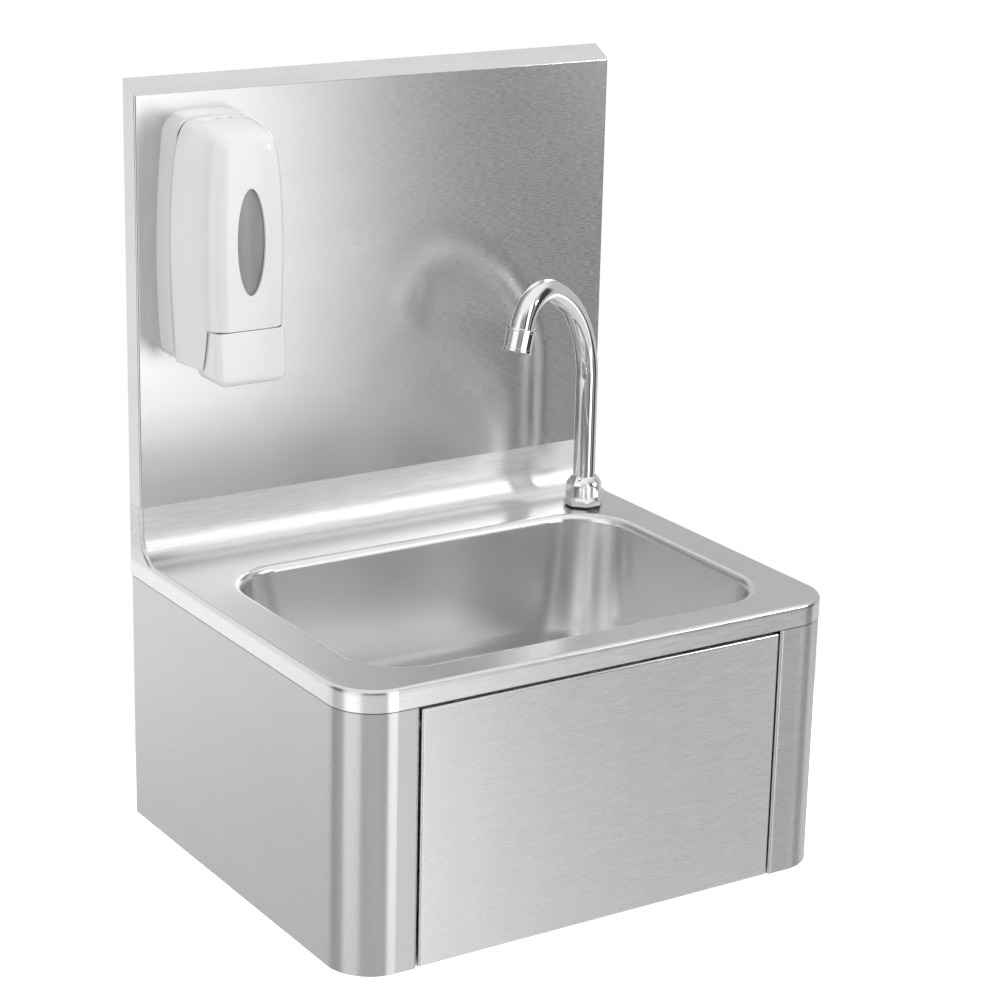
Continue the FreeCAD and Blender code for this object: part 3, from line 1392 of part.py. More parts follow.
def piston_stroke():
    """The piston's lift when the lever is pushed home."""
    turn = math.radians(LEVER_TURN)
    arm_y = fork_rib_y() - LEVER_PIN_Y
    arm_z = LEVER_PIN_RISE - FORK_RISE
    return arm_y * math.sin(turn) + arm_z * (1 - math.cos(turn))


def piston_seat():
    return FORK_RISE + FORK_RIB_R + REST_GAP


def pump_cylinder():
    flange_low = SHELF_RISE + SHELF
    flange = rod(pump_point(flange_low), UP, PUMP_FLANGE_R, PUMP_FLANGE)
    barrel = rod(pump_point(PUMP_BOTTOM), UP, PUMP_R, flange_low - PUMP_BOTTOM)
    body = flange.fuse(barrel)
    bore_length = PISTON_REACH + piston_stroke() + 2 * THROUGH
    bore = rod(pump_point(PUMP_BOTTOM - THROUGH), UP, PISTON_R + RUNNING_FIT, bore_length)
    inlet = rod(pump_point(PUMP_BOTTOM), UP, NOZZLE_BORE_R, SHELF_RISE)
    return body.cut(bore).cut(inlet).removeSplitter()


def pump_piston():
    """The piston, the flange that the fork lifts and the nozzle, bored right through."""
    seat = piston_seat()
    flange = rod(pump_point(seat), UP, PISTON_FLANGE_R, PISTON_FLANGE)
    stem = rod(pump_point(seat), UP, PISTON_R, PUMP_BOTTOM + PISTON_REACH - seat)
    nozzle_low = NOZZLE_BORE_R
    nozzle = rod(pump_point(nozzle_low), UP, NOZZLE_R, seat - nozzle_low)
    bore_length = PUMP_BOTTOM + PISTON_REACH + 2 * THROUGH
    bore = rod(pump_point(-THROUGH), UP, NOZZLE_BORE_R, bore_length)
    return flange.fuse(stem).fuse(nozzle).cut(bore).removeSplitter()


def pump_spring():
    low = piston_seat() + PISTON_FLANGE
    length = PUMP_BOTTOM - low
    return helix_spring(
        pump_point(low), UP, PUMP_SPRING_R, PUMP_SPRING_WIRE / 2, length, PUMP_SPRING_TURNS
    )


def dispenser_screws():
    screws = []
    for rise in (SOAP_SCREW_LOW, SOAP_SCREW_HIGH):
        seat = Vector(SOAP_X, SOAP_Y - SOAP_WALL, SOAP_Z + rise)
        head = rod(seat, BACK * -1, SOAP_SCREW_HEAD_R, SOAP_SCREW_HEAD)
        screws.append(head.fuse(rod(seat, BACK, SOAP_SCREW_R, SOAP_SCREW_LENGTH)))
    return Part.makeCompound([screw.removeSplitter() for screw in screws])


PIECES = {
    "deck": deck,
    "left_side": lambda: housing_side(-1),
    "right_side": lambda: housing_side(1),
    "splashback": splashback,
    "bowl": bowl,
    "waste_strainer": waste_strainer,
    "waste_gasket": waste_gasket,
    "waste_body": waste_body,
    "waste_screw": waste_screw,
    "knee_panel": knee_panel,
    "hinge_pins": hinge_pins,
    "hinge_bushes": hinge_bushes,
    "pusher_pad": pusher_pad,
    "valve_rail": valve_rail,
    "valve_body": valve_body,
    "valve_washer": valve_washer,
    "valve_locknut": valve_locknut,
    "valve_button": valve_button,
    "valve_spring": valve_spring,
    "left_inlet_elbow": lambda: inlet_elbow(-1),
    "right_inlet_elbow": lambda: inlet_elbow(1),
    "left_check_valve": lambda: check_valve(-1),
    "right_check_valve": lambda: check_valve(1),
    "supply_hose": supply_hose,
    "hose_fittings": hose_fittings,
    "deck_gasket": deck_gasket,
    "spout_base": spout_base,
    "spout_washer": spout_washer,
    "spout_backnut": spout_backnut,
    "spout_nut": spout_nut,
    "spout_tube": spout_tube,
    "o_rings": o_rings,
    "aerator_housing": aerator_housing,
    "aerator_insert": aerator_insert,
    "dispenser_back": dispenser_back,
    "dispenser_screws": dispenser_screws,
    "dispenser_cover": dispenser_cover,
    "dispenser_window": dispenser_window,
    "cover_hinge_pins": cover_hinge_pins,
    "cover_latch": cover_latch,
    "dispenser_lever": dispenser_lever,
    "lever_pin": lever_pin,
    "soap_tank": soap_tank,
    "pump_cylinder": pump_cylinder,
    "pump_piston": pump_piston,
    "pump_spring": pump_spring,
}

os.makedirs("parts", exist_ok=True)
for name, build in PIECES.items():
    shape = build()
    shape.exportStep(f"parts/{name}.step")
    state = "valid" if shape.isValid() else "NOT VALID"
    print(name, len(shape.Solids), state, round(shape.Volume, 1))
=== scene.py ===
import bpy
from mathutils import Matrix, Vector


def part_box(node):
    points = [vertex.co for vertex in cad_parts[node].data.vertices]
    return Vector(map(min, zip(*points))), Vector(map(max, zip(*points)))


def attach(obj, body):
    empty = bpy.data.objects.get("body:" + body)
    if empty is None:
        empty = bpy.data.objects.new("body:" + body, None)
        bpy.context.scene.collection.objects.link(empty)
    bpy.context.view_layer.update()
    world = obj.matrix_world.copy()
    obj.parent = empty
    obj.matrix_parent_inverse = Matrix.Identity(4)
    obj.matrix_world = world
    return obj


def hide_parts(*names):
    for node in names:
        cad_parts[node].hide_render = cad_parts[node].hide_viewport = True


bl_info = {
    "name": "Hand wash sink",
    "version": (1, 0, 0),
    "blender": (4, 5, 0),
    "location": "3D View > Sidebar > Sink",
    "description": "Dresses a knee-operated hand wash sink with its spout, dispenser and finishes",
    "category": "Add Mesh",
}

import math

import bmesh
import bpy
from bpy.props import FloatProperty, FloatVectorProperty, PointerProperty
from mathutils import Matrix, Vector

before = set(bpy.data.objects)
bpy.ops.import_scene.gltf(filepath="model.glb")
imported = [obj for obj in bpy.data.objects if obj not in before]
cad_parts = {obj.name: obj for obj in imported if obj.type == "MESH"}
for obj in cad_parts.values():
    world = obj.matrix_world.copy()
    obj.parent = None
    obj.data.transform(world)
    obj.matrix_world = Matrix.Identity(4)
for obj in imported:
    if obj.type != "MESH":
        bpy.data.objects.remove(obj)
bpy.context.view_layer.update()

MM = 0.001
HAIR = 0.01 * MM
UP = Vector((0, 0, 1))


# ---- Sizes and colours that a user would change ----
class SteelLook(bpy.types.PropertyGroup):
    satin: FloatVectorProperty(
        name="Satin steel", description="Colour of the brushed sheet",
        subtype="COLOR", size=3, min=0, max=1, default=(0.60, 0.60, 0.60))
    grain_length: FloatProperty(
        name="Grain length", description="Length of one brushed scratch",
        default=9 * MM, unit="LENGTH")
    grain_width: FloatProperty(
        name="Grain width", description="Width of one brushed scratch",
        default=0.45 * MM, unit="LENGTH")


class SpoutSizes(bpy.types.PropertyGroup):
    tube_radius: FloatProperty(
        name="Tube radius", description="Outside radius of the spout's tube",
        default=8.5 * MM, unit="LENGTH")
    tube_wall: FloatProperty(
        name="Tube wall", description="Wall of the spout's tube",
        default=1.3 * MM, unit="LENGTH")
    riser: FloatProperty(
        name="Riser", description="Height above the counter where the first bend starts",
        default=102 * MM, unit="LENGTH")
    wide_bend: FloatProperty(
        name="Wide bend", description="Radius of the first bend",
        default=85 * MM, unit="LENGTH")
    wide_turn: FloatProperty(
        name="Wide turn", description="Angle of the first bend",
        default=math.radians(68.8), subtype="ANGLE")
    tight_bend: FloatProperty(
        name="Tight bend", description="Radius of the second bend",
        default=31 * MM, unit="LENGTH")
    tight_turn: FloatProperty(
        name="Tight turn", description="Angle of the second bend",
        default=math.radians(92.4), subtype="ANGLE")
    end_length: FloatProperty(
        name="End", description="From the second bend to the aerator's lower end",
        default=20.5 * MM, unit="LENGTH")
    azimuth: FloatProperty(
        name="Azimuth", description="Direction of the spout from its base at rest",
        default=math.radians(204), subtype="ANGLE")


class DispenserSizes(bpy.types.PropertyGroup):
    wall: FloatProperty(
        name="Wall", description="Wall of the moulded cover and lever",
        default=2 * MM, unit="LENGTH")
    front_half: FloatProperty(
        name="Front half width", description="Half the width of the cover's face",
        default=29.5 * MM, unit="LENGTH")
    front_corner: FloatProperty(
        name="Front corner", description="Rounding between the cover's face and its sides",
        default=13 * MM, unit="LENGTH")
    window_half_x: FloatProperty(
        name="Window half width", description="Half the width of the window's oval",
        default=11 * MM, unit="LENGTH")
    window_half_z: FloatProperty(
        name="Window half height", description="Half the height of the window's oval",
        default=38 * MM, unit="LENGTH")
    window_rise: FloatProperty(
        name="Window rise", description="Window's middle above the dispenser's lower edge",
        default=96 * MM, unit="LENGTH")
    lever_corner: FloatProperty(
        name="Lever corner", description="Radius of the lever's lower corners",
        default=8 * MM, unit="LENGTH")
    lever_top: FloatProperty(
        name="Lever top", description="Lever's seam above the dispenser's lower edge",
        default=33 * MM, unit="LENGTH")
    seam: FloatProperty(
        name="Seam", description="Gap between the lever and the cover",
        default=0.6 * MM, unit="LENGTH")


class StageLook(bpy.types.PropertyGroup):
    camera_place: FloatVectorProperty(
        name="Camera place", description="Where the camera stands",
        subtype="TRANSLATION", size=3, default=(-1.05124, -1.8127, 0.77683))
    camera_yaw: FloatProperty(
        name="Camera yaw", description="Turn of the view from +Y towards +X",
        default=math.radians(32.92), subtype="ANGLE")
    camera_pitch: FloatProperty(
        name="Camera pitch", description="Tilt of the view above the horizon",
        default=math.radians(-17.57), subtype="ANGLE")
    camera_roll: FloatProperty(
        name="Camera roll", description="Roll of the picture",
        default=math.radians(1.36), subtype="ANGLE")
    camera_lens: FloatProperty(
        name="Camera lens", description="Focal length in millimetres on a 36 mm sensor",
        default=102.56, unit="CAMERA")
    floor_drop: FloatProperty(
        name="Floor drop", description="Floor below the wall bolts' centre",
        default=0.75, unit="LENGTH")


GROUPS = {"steel": SteelLook, "spout": SpoutSizes, "dispenser": DispenserSizes,
          "stage": StageLook}


class SinkSettings(bpy.types.PropertyGroup):
    steel: PointerProperty(type=SteelLook)
    spout: PointerProperty(type=SpoutSizes)
    dispenser: PointerProperty(type=DispenserSizes)
    stage: PointerProperty(type=StageLook)


def settings():
    return bpy.context.scene.sink_settings


# ---- Nodes of a material or of the world ----
NOISE_HALF = 0.25  # most of a noise lies within this of 0.5


def new_material(name):
    material = bpy.data.materials.new(name)
    material.use_nodes = True
    return material, material.node_tree.nodes["Principled BSDF"]


def add_node(owner, kind, **values):
    node = owner.node_tree.nodes.new(kind)
    for key, value in values.items():
        setattr(node, key, value)
    return node


def join(owner, source, target):
    owner.node_tree.links.new(source, target)


def mix(owner, kind, sockets, share, first, second):
    """A Mix node whose inputs are each a plain value or a node's output."""
    node = add_node(owner, "ShaderNodeMix", data_type=kind)
    for socket, value in zip(sockets, (share, first, second)):
        if isinstance(value, bpy.types.NodeSocket):
            join(owner, value, node.inputs[socket])
        else:
            node.inputs[socket].default_value = value
    return node.outputs


def mix_values(owner, share, first, second):
    return mix(owner, "FLOAT", ("Factor", "A", "B"), share, first, second)["Result"]


def mix_colours(owner, share, first, second):
    return mix(owner, "RGBA", (0, 6, 7), share, first, second)[2]


def fade(owner, source, start, end):
    """0 up to start, 1 from end on, and eased between them."""
    node = add_node(owner, "ShaderNodeMapRange", interpolation_type="SMOOTHSTEP")
    node.inputs["From Min"].default_value = start
    node.inputs["From Max"].default_value = end
    join(owner, source, node.inputs["Value"])
    return node.outputs["Result"]


def ray_kind(owner, output):
    return add_node(owner, "ShaderNodeLightPath").outputs[output]


def object_height(material):
    """Each point's height in the frame."""
    place = add_node(material, "ShaderNodeTexCoord")
    split = add_node(material, "ShaderNodeSeparateXYZ")
    join(material, place.outputs["Object"], split.inputs["Vector"])
    return split.outputs["Z"]


def object_pattern(material, size, turn=(0, 0, 0)):
    """Object coordinates divided by the pattern's size along each axis."""
    place = add_node(material, "ShaderNodeTexCoord")
    mapping = add_node(material, "ShaderNodeMapping", vector_type="POINT")
    mapping.inputs["Scale"].default_value = [1 / length for length in size]
    mapping.inputs["Rotation"].default_value = turn
    join(material, place.outputs["Object"], mapping.inputs["Vector"])
    return mapping.outputs["Vector"]


def noise(material, vector, detail=2.0, roughness=0.5):
    texture = add_node(material, "ShaderNodeTexNoise")
    texture.inputs["Scale"].default_value = 1.0
    texture.inputs["Detail"].default_value = detail
    texture.inputs["Roughness"].default_value = roughness
    join(material, vector, texture.inputs["Vector"])
    return texture.outputs["Fac"]


def spread(material, source, low, high):
    """Maps the middle of a noise to the range from low to high."""
    node = add_node(material, "ShaderNodeMapRange")
    node.inputs["From Min"].default_value = 0.5 - NOISE_HALF
    node.inputs["From Max"].default_value = 0.5 + NOISE_HALF
    node.inputs["To Min"].default_value = low
    node.inputs["To Max"].default_value = high
    join(material, source, node.inputs["Value"])
    return node.outputs["Result"]


def shade_range(material, source, colour, low, high):
    """A colour between two shades of the given one."""
    ramp = add_node(material, "ShaderNodeValToRGB")
    for stop, position, level in zip(ramp.color_ramp.elements, (0.3, 0.7), (low, high)):
        stop.position = position
        stop.color = [min(part * level, 1) for part in colour] + [1]
    join(material, source, ramp.inputs["Fac"])
    return ramp.outputs["Color"]


def bump(material, shader, source, strength, distance):
    node = add_node(material, "ShaderNodeBump")
    node.inputs["Strength"].default_value = strength
    node.inputs["Distance"].default_value = distance
    join(material, source, node.inputs["Height"])
    join(material, node.outputs["Normal"], shader.inputs["Normal"])


# ---- Materials ----
CLOUD_SHARE = 0.4
ROUGHNESS_SPREAD = 0.04
SCRATCH_DEPTH = 0.012 * MM
QUARTER_TURN = 0.25
SKIRT_DEPTH = 15.5 * MM
# Half height and grey of the painted shade along the seam under the counter's skirt.
GAP_SHADE_HALF = 0.45 * MM
GAP_SHADE_GREY = (0.16, 0.16, 0.16, 1)
UPSTAND_STREAK = (30 * MM, 6 * MM, 1.1 * MM)
UPSTAND_ROUGHNESS = 0.5


def brushed_steel(name, grain, cloud, roughness, brushed=0.85, level=1.0, contrast=0.05,
                  relief=0.3):
    """Satin sheet whose scratches have the size grain along each axis."""
    material, shader = new_material(name)
    streak = noise(material, object_pattern(material, grain), detail=3, roughness=0.65)
    patch = noise(material, object_pattern(material, cloud), detail=3)
    both = mix_values(material, CLOUD_SHARE, streak, patch)
    # Painted light: level makes this part's copy of the one satin steel lighter or darker.
    satin = [part * level for part in settings().steel.satin]
    colour = shade_range(material, both, satin, 1 - contrast, 1 + contrast)
    join(material, colour, shader.inputs["Base Color"])
    join(material, spread(material, streak, roughness - ROUGHNESS_SPREAD,
                          roughness + ROUGHNESS_SPREAD), shader.inputs["Roughness"])
    bump(material, shader, streak, relief, SCRATCH_DEPTH)
    shader.inputs["Metallic"].default_value = 1.0
    shader.inputs["Anisotropic"].default_value = brushed
    shader.inputs["Anisotropic Rotation"].default_value = QUARTER_TURN
    return material


def housing_steel(name, grain, cloud):
    """The housing's sheet, with painted shade in a narrow band just under the counter's skirt,
    where the seam's shadow falls.
    """
    material = brushed_steel(name, grain, cloud, 0.29, contrast=0.035, relief=0.15)
    base = material.node_tree.nodes["Principled BSDF"].inputs["Base Color"]
    # Painted shade: a narrow dark band below the skirt's lower edge stands in for the seam's
    # shadow.
    gap_shade = add_node(material, "ShaderNodeMath", operation="COMPARE")
    gap_shade.inputs[1].default_value = counter_height() - SKIRT_DEPTH - GAP_SHADE_HALF
    gap_shade.inputs[2].default_value = GAP_SHADE_HALF
    join(material, object_height(material), gap_shade.inputs[0])
    sheet = base.links[0].from_socket
    join(material, mix_colours(material, gap_shade.outputs[0], sheet, GAP_SHADE_GREY), base)
    return material


def counter_steel(name, grain, cloud):
    """The counter's sheet. Its cove and upstand are painted brighter and rougher, partly for their
    reground finish and partly as a painted highlight along the cove; the skirt is painted paler,
    as painted light on its upright face.
    """
    material = brushed_steel(name, grain, cloud, 0.24, brushed=0.0, level=1.15)
    shader = material.node_tree.nodes["Principled BSDF"]
    colour = shader.inputs["Base Color"].links[0].from_socket
    rough = shader.inputs["Roughness"].links[0].from_socket
    height, counter = object_height(material), counter_height()
    # Painted brighter above the counter: the upstand's reground finish, and a painted highlight
    # along the cove.
    upstand = fade(material, height, counter + 2 * MM, counter + 9 * MM)
    # Painted light: the upright skirt is painted paler than the counter's top.
    skirt = fade(material, height, counter - 2 * MM, counter - 5 * MM)
    streak = noise(material, object_pattern(material, UPSTAND_STREAK), detail=3)
    for share, grey, low, high in ((upstand, 0.8, 0.88, 1.06), (skirt, 0.84, 0.96, 1.03)):
        shade = shade_range(material, streak, (grey,) * 3, low, high)
        colour = mix_colours(material, share, colour, shade)
    join(material, colour, shader.inputs["Base Color"])
    join(material, mix_values(material, upstand, rough, UPSTAND_ROUGHNESS),
         shader.inputs["Roughness"])
    return material


def chrome():
    material, shader = new_material("polished chrome")
    haze = noise(material, object_pattern(material, (30 * MM,) * 3), detail=2)
    join(material, shade_range(material, haze, (0.8, 0.805, 0.815), 0.98, 1.02),
         shader.inputs["Base Color"])
    join(material, spread(material, haze, 0.03, 0.06), shader.inputs["Roughness"])
    shader.inputs["Metallic"].default_value = 1.0
    return material


def moulded_plastic(name, colour, roughness, coat=0.0):
    material, shader = new_material(name)
    skin = noise(material, object_pattern(material, (1.2 * MM,) * 3), detail=2)
    cloud = noise(material, object_pattern(material, (25 * MM,) * 3), detail=2)
    join(material, shade_range(material, cloud, colour, 0.985, 1.01),
         shader.inputs["Base Color"])
    join(material, spread(material, skin, roughness - 0.03, roughness + 0.03),
         shader.inputs["Roughness"])
    bump(material, shader, skin, 0.08, 0.02 * MM)
    shader.inputs["Coat Weight"].default_value = coat
    return material


def valve_brass():
    material, shader = new_material("machined brass")
    tooling = noise(material, object_pattern(material, (0.4 * MM, 4 * MM, 0.4 * MM)), detail=2)
    stain = noise(material, object_pattern(material, (9 * MM,) * 3), detail=4)
    join(material, shade_range(material, stain, (0.68, 0.52, 0.27), 0.8, 1.1),
         shader.inputs["Base Color"])
    join(material, spread(material, tooling, 0.22, 0.4), shader.inputs["Roughness"])
    bump(material, shader, tooling, 0.2, 0.02 * MM)
    shader.inputs["Metallic"].default_value = 1.0
    return material


def braided_hose():
    """Crossed steel strands over a rubber hose."""
    material, shader = new_material("braided hose")
    strands = []
    for turn in (math.radians(35), math.radians(-35)):
        wave = add_node(material, "ShaderNodeTexWave", wave_type="BANDS", bands_direction="Y")
        wave.inputs["Scale"].default_value = 1.0
        join(material, object_pattern(material, (3 * MM,) * 3, (turn, 0, turn)),
             wave.inputs["Vector"])
        strands.append(wave.outputs["Fac"])
    crossing = add_node(material, "ShaderNodeMath", operation="MULTIPLY")
    join(material, strands[0], crossing.inputs[0])
    join(material, strands[1], crossing.inputs[1])
    weave = crossing.outputs[0]
    join(material, shade_range(material, weave, (0.5, 0.5, 0.52), 0.35, 1.3),
         shader.inputs["Base Color"])
    join(material, spread(material, weave, 0.45, 0.25), shader.inputs["Roughness"])
    bump(material, shader, weave, 0.6, 0.3 * MM)
    shader.inputs["Metallic"].default_value = 0.9
    return material


def smoked_window():
    material, shader = new_material("smoked window")
    cloud = noise(material, object_pattern(material, (6 * MM, 20 * MM, 60 * MM)), detail=1)
    join(material, shade_range(material, cloud, (0.30, 0.30, 0.305), 0.9, 1.12),
         shader.inputs["Base Color"])
    join(material, spread(material, cloud, 0.14, 0.2), shader.inputs["Roughness"])
    return material


def finishes():
    """Each finish of the part's own solids, with the solids that take it."""
    look = settings().steel
    long, thin = look.grain_length, look.grain_width
    # Painted light: each part's copy of the steel gets its own level, lightest on the panel and
    # the bowl.
    return [
        (brushed_steel("splashback steel", (long * 0.6, thin, thin * 1.3),
                       (60 * MM, 60 * MM, 20 * MM), 0.22, brushed=0.8, level=1.1),
         ("splashback",)),
        (counter_steel("counter steel", (long * 2, thin, thin),
                       (80 * MM, 30 * MM, 30 * MM)), ("deck",)),
        (housing_steel("housing steel", (long * 2, long * 2, thin),
                       (90 * MM, 90 * MM, 30 * MM)),
         ("left_side", "right_side", "valve_rail")),
        (brushed_steel("panel steel", (long * 2, thin, thin),
                       (20 * MM, 90 * MM, 160 * MM), 0.27, level=1.28, contrast=0.03,
                       relief=0.13), ("knee_panel",)),
        (brushed_steel("bowl steel", (0.8 * MM,) * 3, (70 * MM,) * 3, 0.23, brushed=0.0,
                       level=1.35, contrast=0.02), ("bowl",)),
        (brushed_steel("small steel", (1.5 * MM,) * 3, (20 * MM,) * 3, 0.25, brushed=0.0),
         ("waste_strainer", "waste_screw", "hinge_pins", "valve_washer", "valve_spring",
          "dispenser_screws", "cover_hinge_pins", "lever_pin", "pump_spring")),
        (chrome(), ("valve_button", "spout_base", "spout_nut", "spout_tube",
                    "aerator_housing", "hose_fittings")),
        (valve_brass(), ("valve_body", "valve_locknut", "left_inlet_elbow",
                         "right_inlet_elbow", "left_check_valve", "right_check_valve",
                         "spout_backnut")),
        (moulded_plastic("black rubber", (0.02, 0.02, 0.021), 0.55),
         ("waste_gasket", "pusher_pad", "deck_gasket", "spout_washer", "o_rings")),
        (braided_hose(), ("supply_hose",)),
        (moulded_plastic("waste plastic", (0.80, 0.80, 0.79), 0.42),
         ("waste_body", "hinge_bushes", "pump_cylinder", "pump_piston")),
        (moulded_plastic("dispenser plastic", (0.88, 0.88, 0.88), 0.2, 0.3),
         ("dispenser_back", "dispenser_cover", "dispenser_lever", "cover_latch")),
        (smoked_window(), ("dispenser_window",)),
        (moulded_plastic("tank plastic", (0.72, 0.74, 0.75), 0.25), ("soap_tank",)),
        (moulded_plastic("aerator plastic", (0.42, 0.42, 0.43), 0.4), ("aerator_insert",)),
    ]


# ---- Modelling helpers ----
ROUND_SIDES = 64
SOFT_EDGE = 0.35 * MM
ROD_CHAMFER = 0.2 * MM


def clear_selection():
    if bpy.context.object and bpy.context.object.mode != "OBJECT":
        bpy.ops.object.mode_set(mode="OBJECT")
    bpy.ops.object.select_all(action="DESELECT")


def pick(piece):
    """Selects one piece alone and makes it the active one."""
    clear_selection()
    piece.select_set(True)
    bpy.context.view_layer.objects.active = piece


def place_in_mesh():
    bpy.ops.object.transform_apply(location=True, rotation=True, scale=True)


def select_where(test, kind="verts"):
    """Selects the active mesh's verts, edges or faces that pass a test on their middle."""
    mesh = bpy.context.object.data
    shape = bmesh.from_edit_mesh(mesh)
    bpy.ops.mesh.select_all(action="DESELECT")
    bpy.ops.mesh.select_mode(type={"verts": "VERT", "edges": "EDGE", "faces": "FACE"}[kind])
    for part in getattr(shape, kind):
        if kind == "verts":
            middle = part.co
        elif kind == "edges":
            middle = (part.verts[0].co + part.verts[1].co) / 2
        else:
            middle = part.calc_center_median()
        if test(middle):
            part.select_set(True)
    bmesh.update_edit_mesh(mesh)


def face_outwards():
    bpy.ops.mesh.select_all(action="SELECT")
    bpy.ops.mesh.normals_make_consistent(inside=False)


def turned(name, sides, profile, turn=0.0):
    """A piece turned about Z: rings of the profile's (radius, height), capped at both ends."""
    clear_selection()
    radius, height = profile[0]
    bpy.ops.mesh.primitive_circle_add(
        vertices=sides, radius=radius, fill_type="NGON", location=(0, 0, height),
        rotation=(0, 0, turn))
    place_in_mesh()
    bpy.context.object.name = name
    bpy.ops.object.mode_set(mode="EDIT")
    bpy.ops.mesh.select_all(action="SELECT")
    for next_radius, next_height in profile[1:]:
        bpy.ops.mesh.extrude_region_move(
            TRANSFORM_OT_translate={"value": (0, 0, next_height - height)})
        share = next_radius / radius
        bpy.ops.transform.resize(value=(share, share, 1), center_override=(0, 0, next_height))
        radius, height = next_radius, next_height
    face_outwards()
    bpy.ops.object.mode_set(mode="OBJECT")
    return bpy.context.object


def box_between(low, high):
    clear_selection()
    low, high = Vector(low), Vector(high)
    bpy.ops.mesh.primitive_cube_add(size=1, location=(low + high) / 2)
    block = bpy.context.object
    block.scale = high - low
    place_in_mesh()
    return block


def modify(piece, kind, **values):
    modifier = piece.modifiers.new(kind, kind)
    for key, value in values.items():
        setattr(modifier, key, value)
    bpy.context.view_layer.objects.active = piece
    bpy.ops.object.modifier_apply(modifier=modifier.name)


def cut(piece, tool):
    modify(piece, "BOOLEAN", operation="DIFFERENCE", object=tool, solver="MANIFOLD")
    bpy.data.objects.remove(tool)


def bore(piece, radius, length):
    """Cuts a round bore through a piece that stands on the origin."""
    clear_selection()
    bpy.ops.mesh.primitive_cylinder_add(
        vertices=ROUND_SIDES, radius=radius, depth=length * 3, location=(0, 0, length / 2))
    cut(piece, bpy.context.object)


def put(piece, place, turn=Matrix.Identity(3)):
    """Moves a piece from the origin to its place and applies that to its mesh."""
    piece.matrix_world = Matrix.Translation(place) @ turn.to_4x4()
    pick(piece)
    place_in_mesh()
    return piece


def moulded_bar(low, high):
    """A straight bar with softened edges."""
    bar = box_between(low, high)
    modify(bar, "BEVEL", width=SOFT_EDGE, segments=2, limit_method="ANGLE")
    return bar


def cross_rod(place, radius, length):
    """A round bar along X from its place, with a chamfer at both ends."""
    rod = turned("cross_rod", 32, [
        (radius - ROD_CHAMFER, 0), (radius, ROD_CHAMFER), (radius, length - ROD_CHAMFER),
        (radius - ROD_CHAMFER, length)])
    return put(rod, place, Matrix.Rotation(math.pi / 2, 3, "Y"))


def both_sides(inner, width):
    """Where a part on the left and its twin on the right start in X, from the middle."""
    return -inner - width, inner


def gather(name, parts):
    """Joins parts to one piece."""
    clear_selection()
    for part in parts:
        part.select_set(True)
    bpy.context.view_layer.objects.active = parts[0]
    bpy.ops.object.join()
    parts[0].name = name
    return parts[0]


def finish_piece(piece, body, material, node, smooth):
    """Gives a piece its smooth shading up to an angle, its finish and its body, and hides the node
    that it stands in for.
    """
    pick(piece)
    bpy.ops.object.shade_smooth_by_angle(angle=math.radians(smooth))
    piece.data.materials.clear()
    piece.data.materials.append(bpy.data.materials[material])
    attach(piece, body)
    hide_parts(node)


# ---- Spout ----
STUB_RADIUS, STUB_BORE, STUB_CHAMFER = 7.1 * MM, 4.3 * MM, 0.4 * MM
GROOVE_RADIUS = 5.9 * MM
GROOVES = ((4.4 * MM, 5.6 * MM), (11.4 * MM, 12.6 * MM))
COLLAR_RADIUS, COLLAR_EDGE = 10.4 * MM, 0.3 * MM
COLLAR_LOW, COLLAR_TOP = 20 * MM, 23 * MM
COLLAR_ROOM_RADIUS, COLLAR_ROOM_HEIGHT = 10.7 * MM, 1.1 * MM
# Shares of half the nut's width and of its height.
NUT_LEVELS = ((1.07, 0), (1.07, 0.60), (1.0, 0.72), (0.9, 0.84), (0.8, 0.94), (0.74, 1))
AERATOR_RADIUS, AERATOR_LENGTH, AERATOR_WALL = 11 * MM, 18 * MM, 1.2 * MM
AERATOR_STEP = 0.5 * MM
INSERT_ROOM = 13 * MM


def spout_axis():
    low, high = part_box("spout_nut")
    return (low.x + high.x) / 2, (low.y + high.y) / 2


def counter_height():
    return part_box("deck_gasket")[0].z


def spout_out():
    """The level direction in which the spout reaches out at rest."""
    azimuth = settings().spout.azimuth
    return Vector((math.cos(azimuth), math.sin(azimuth), 0))


def from_centre(turn):
    """The direction from a bend's centre to the tube, after a turn from the riser."""
    return UP * math.sin(turn) - spout_out() * math.cos(turn)


def bend_centres():
    """The centres of the wide bend and of the tight bend."""
    sizes = settings().spout
    riser_top = Vector((*spout_axis(), counter_height() + sizes.riser))
    wide = riser_top + spout_out() * sizes.wide_bend
    return wide, wide + from_centre(sizes.wide_turn) * (sizes.wide_bend - sizes.tight_bend)


def spout_tip():
    """The lower end of the aerator and the way that it points."""
    sizes = settings().spout
    turn = sizes.wide_turn + sizes.tight_turn
    end = bend_centres()[1] + from_centre(turn) * sizes.tight_bend
    heading = spout_out() * math.sin(turn) + UP * math.cos(turn)
    return end + heading * sizes.end_length, heading


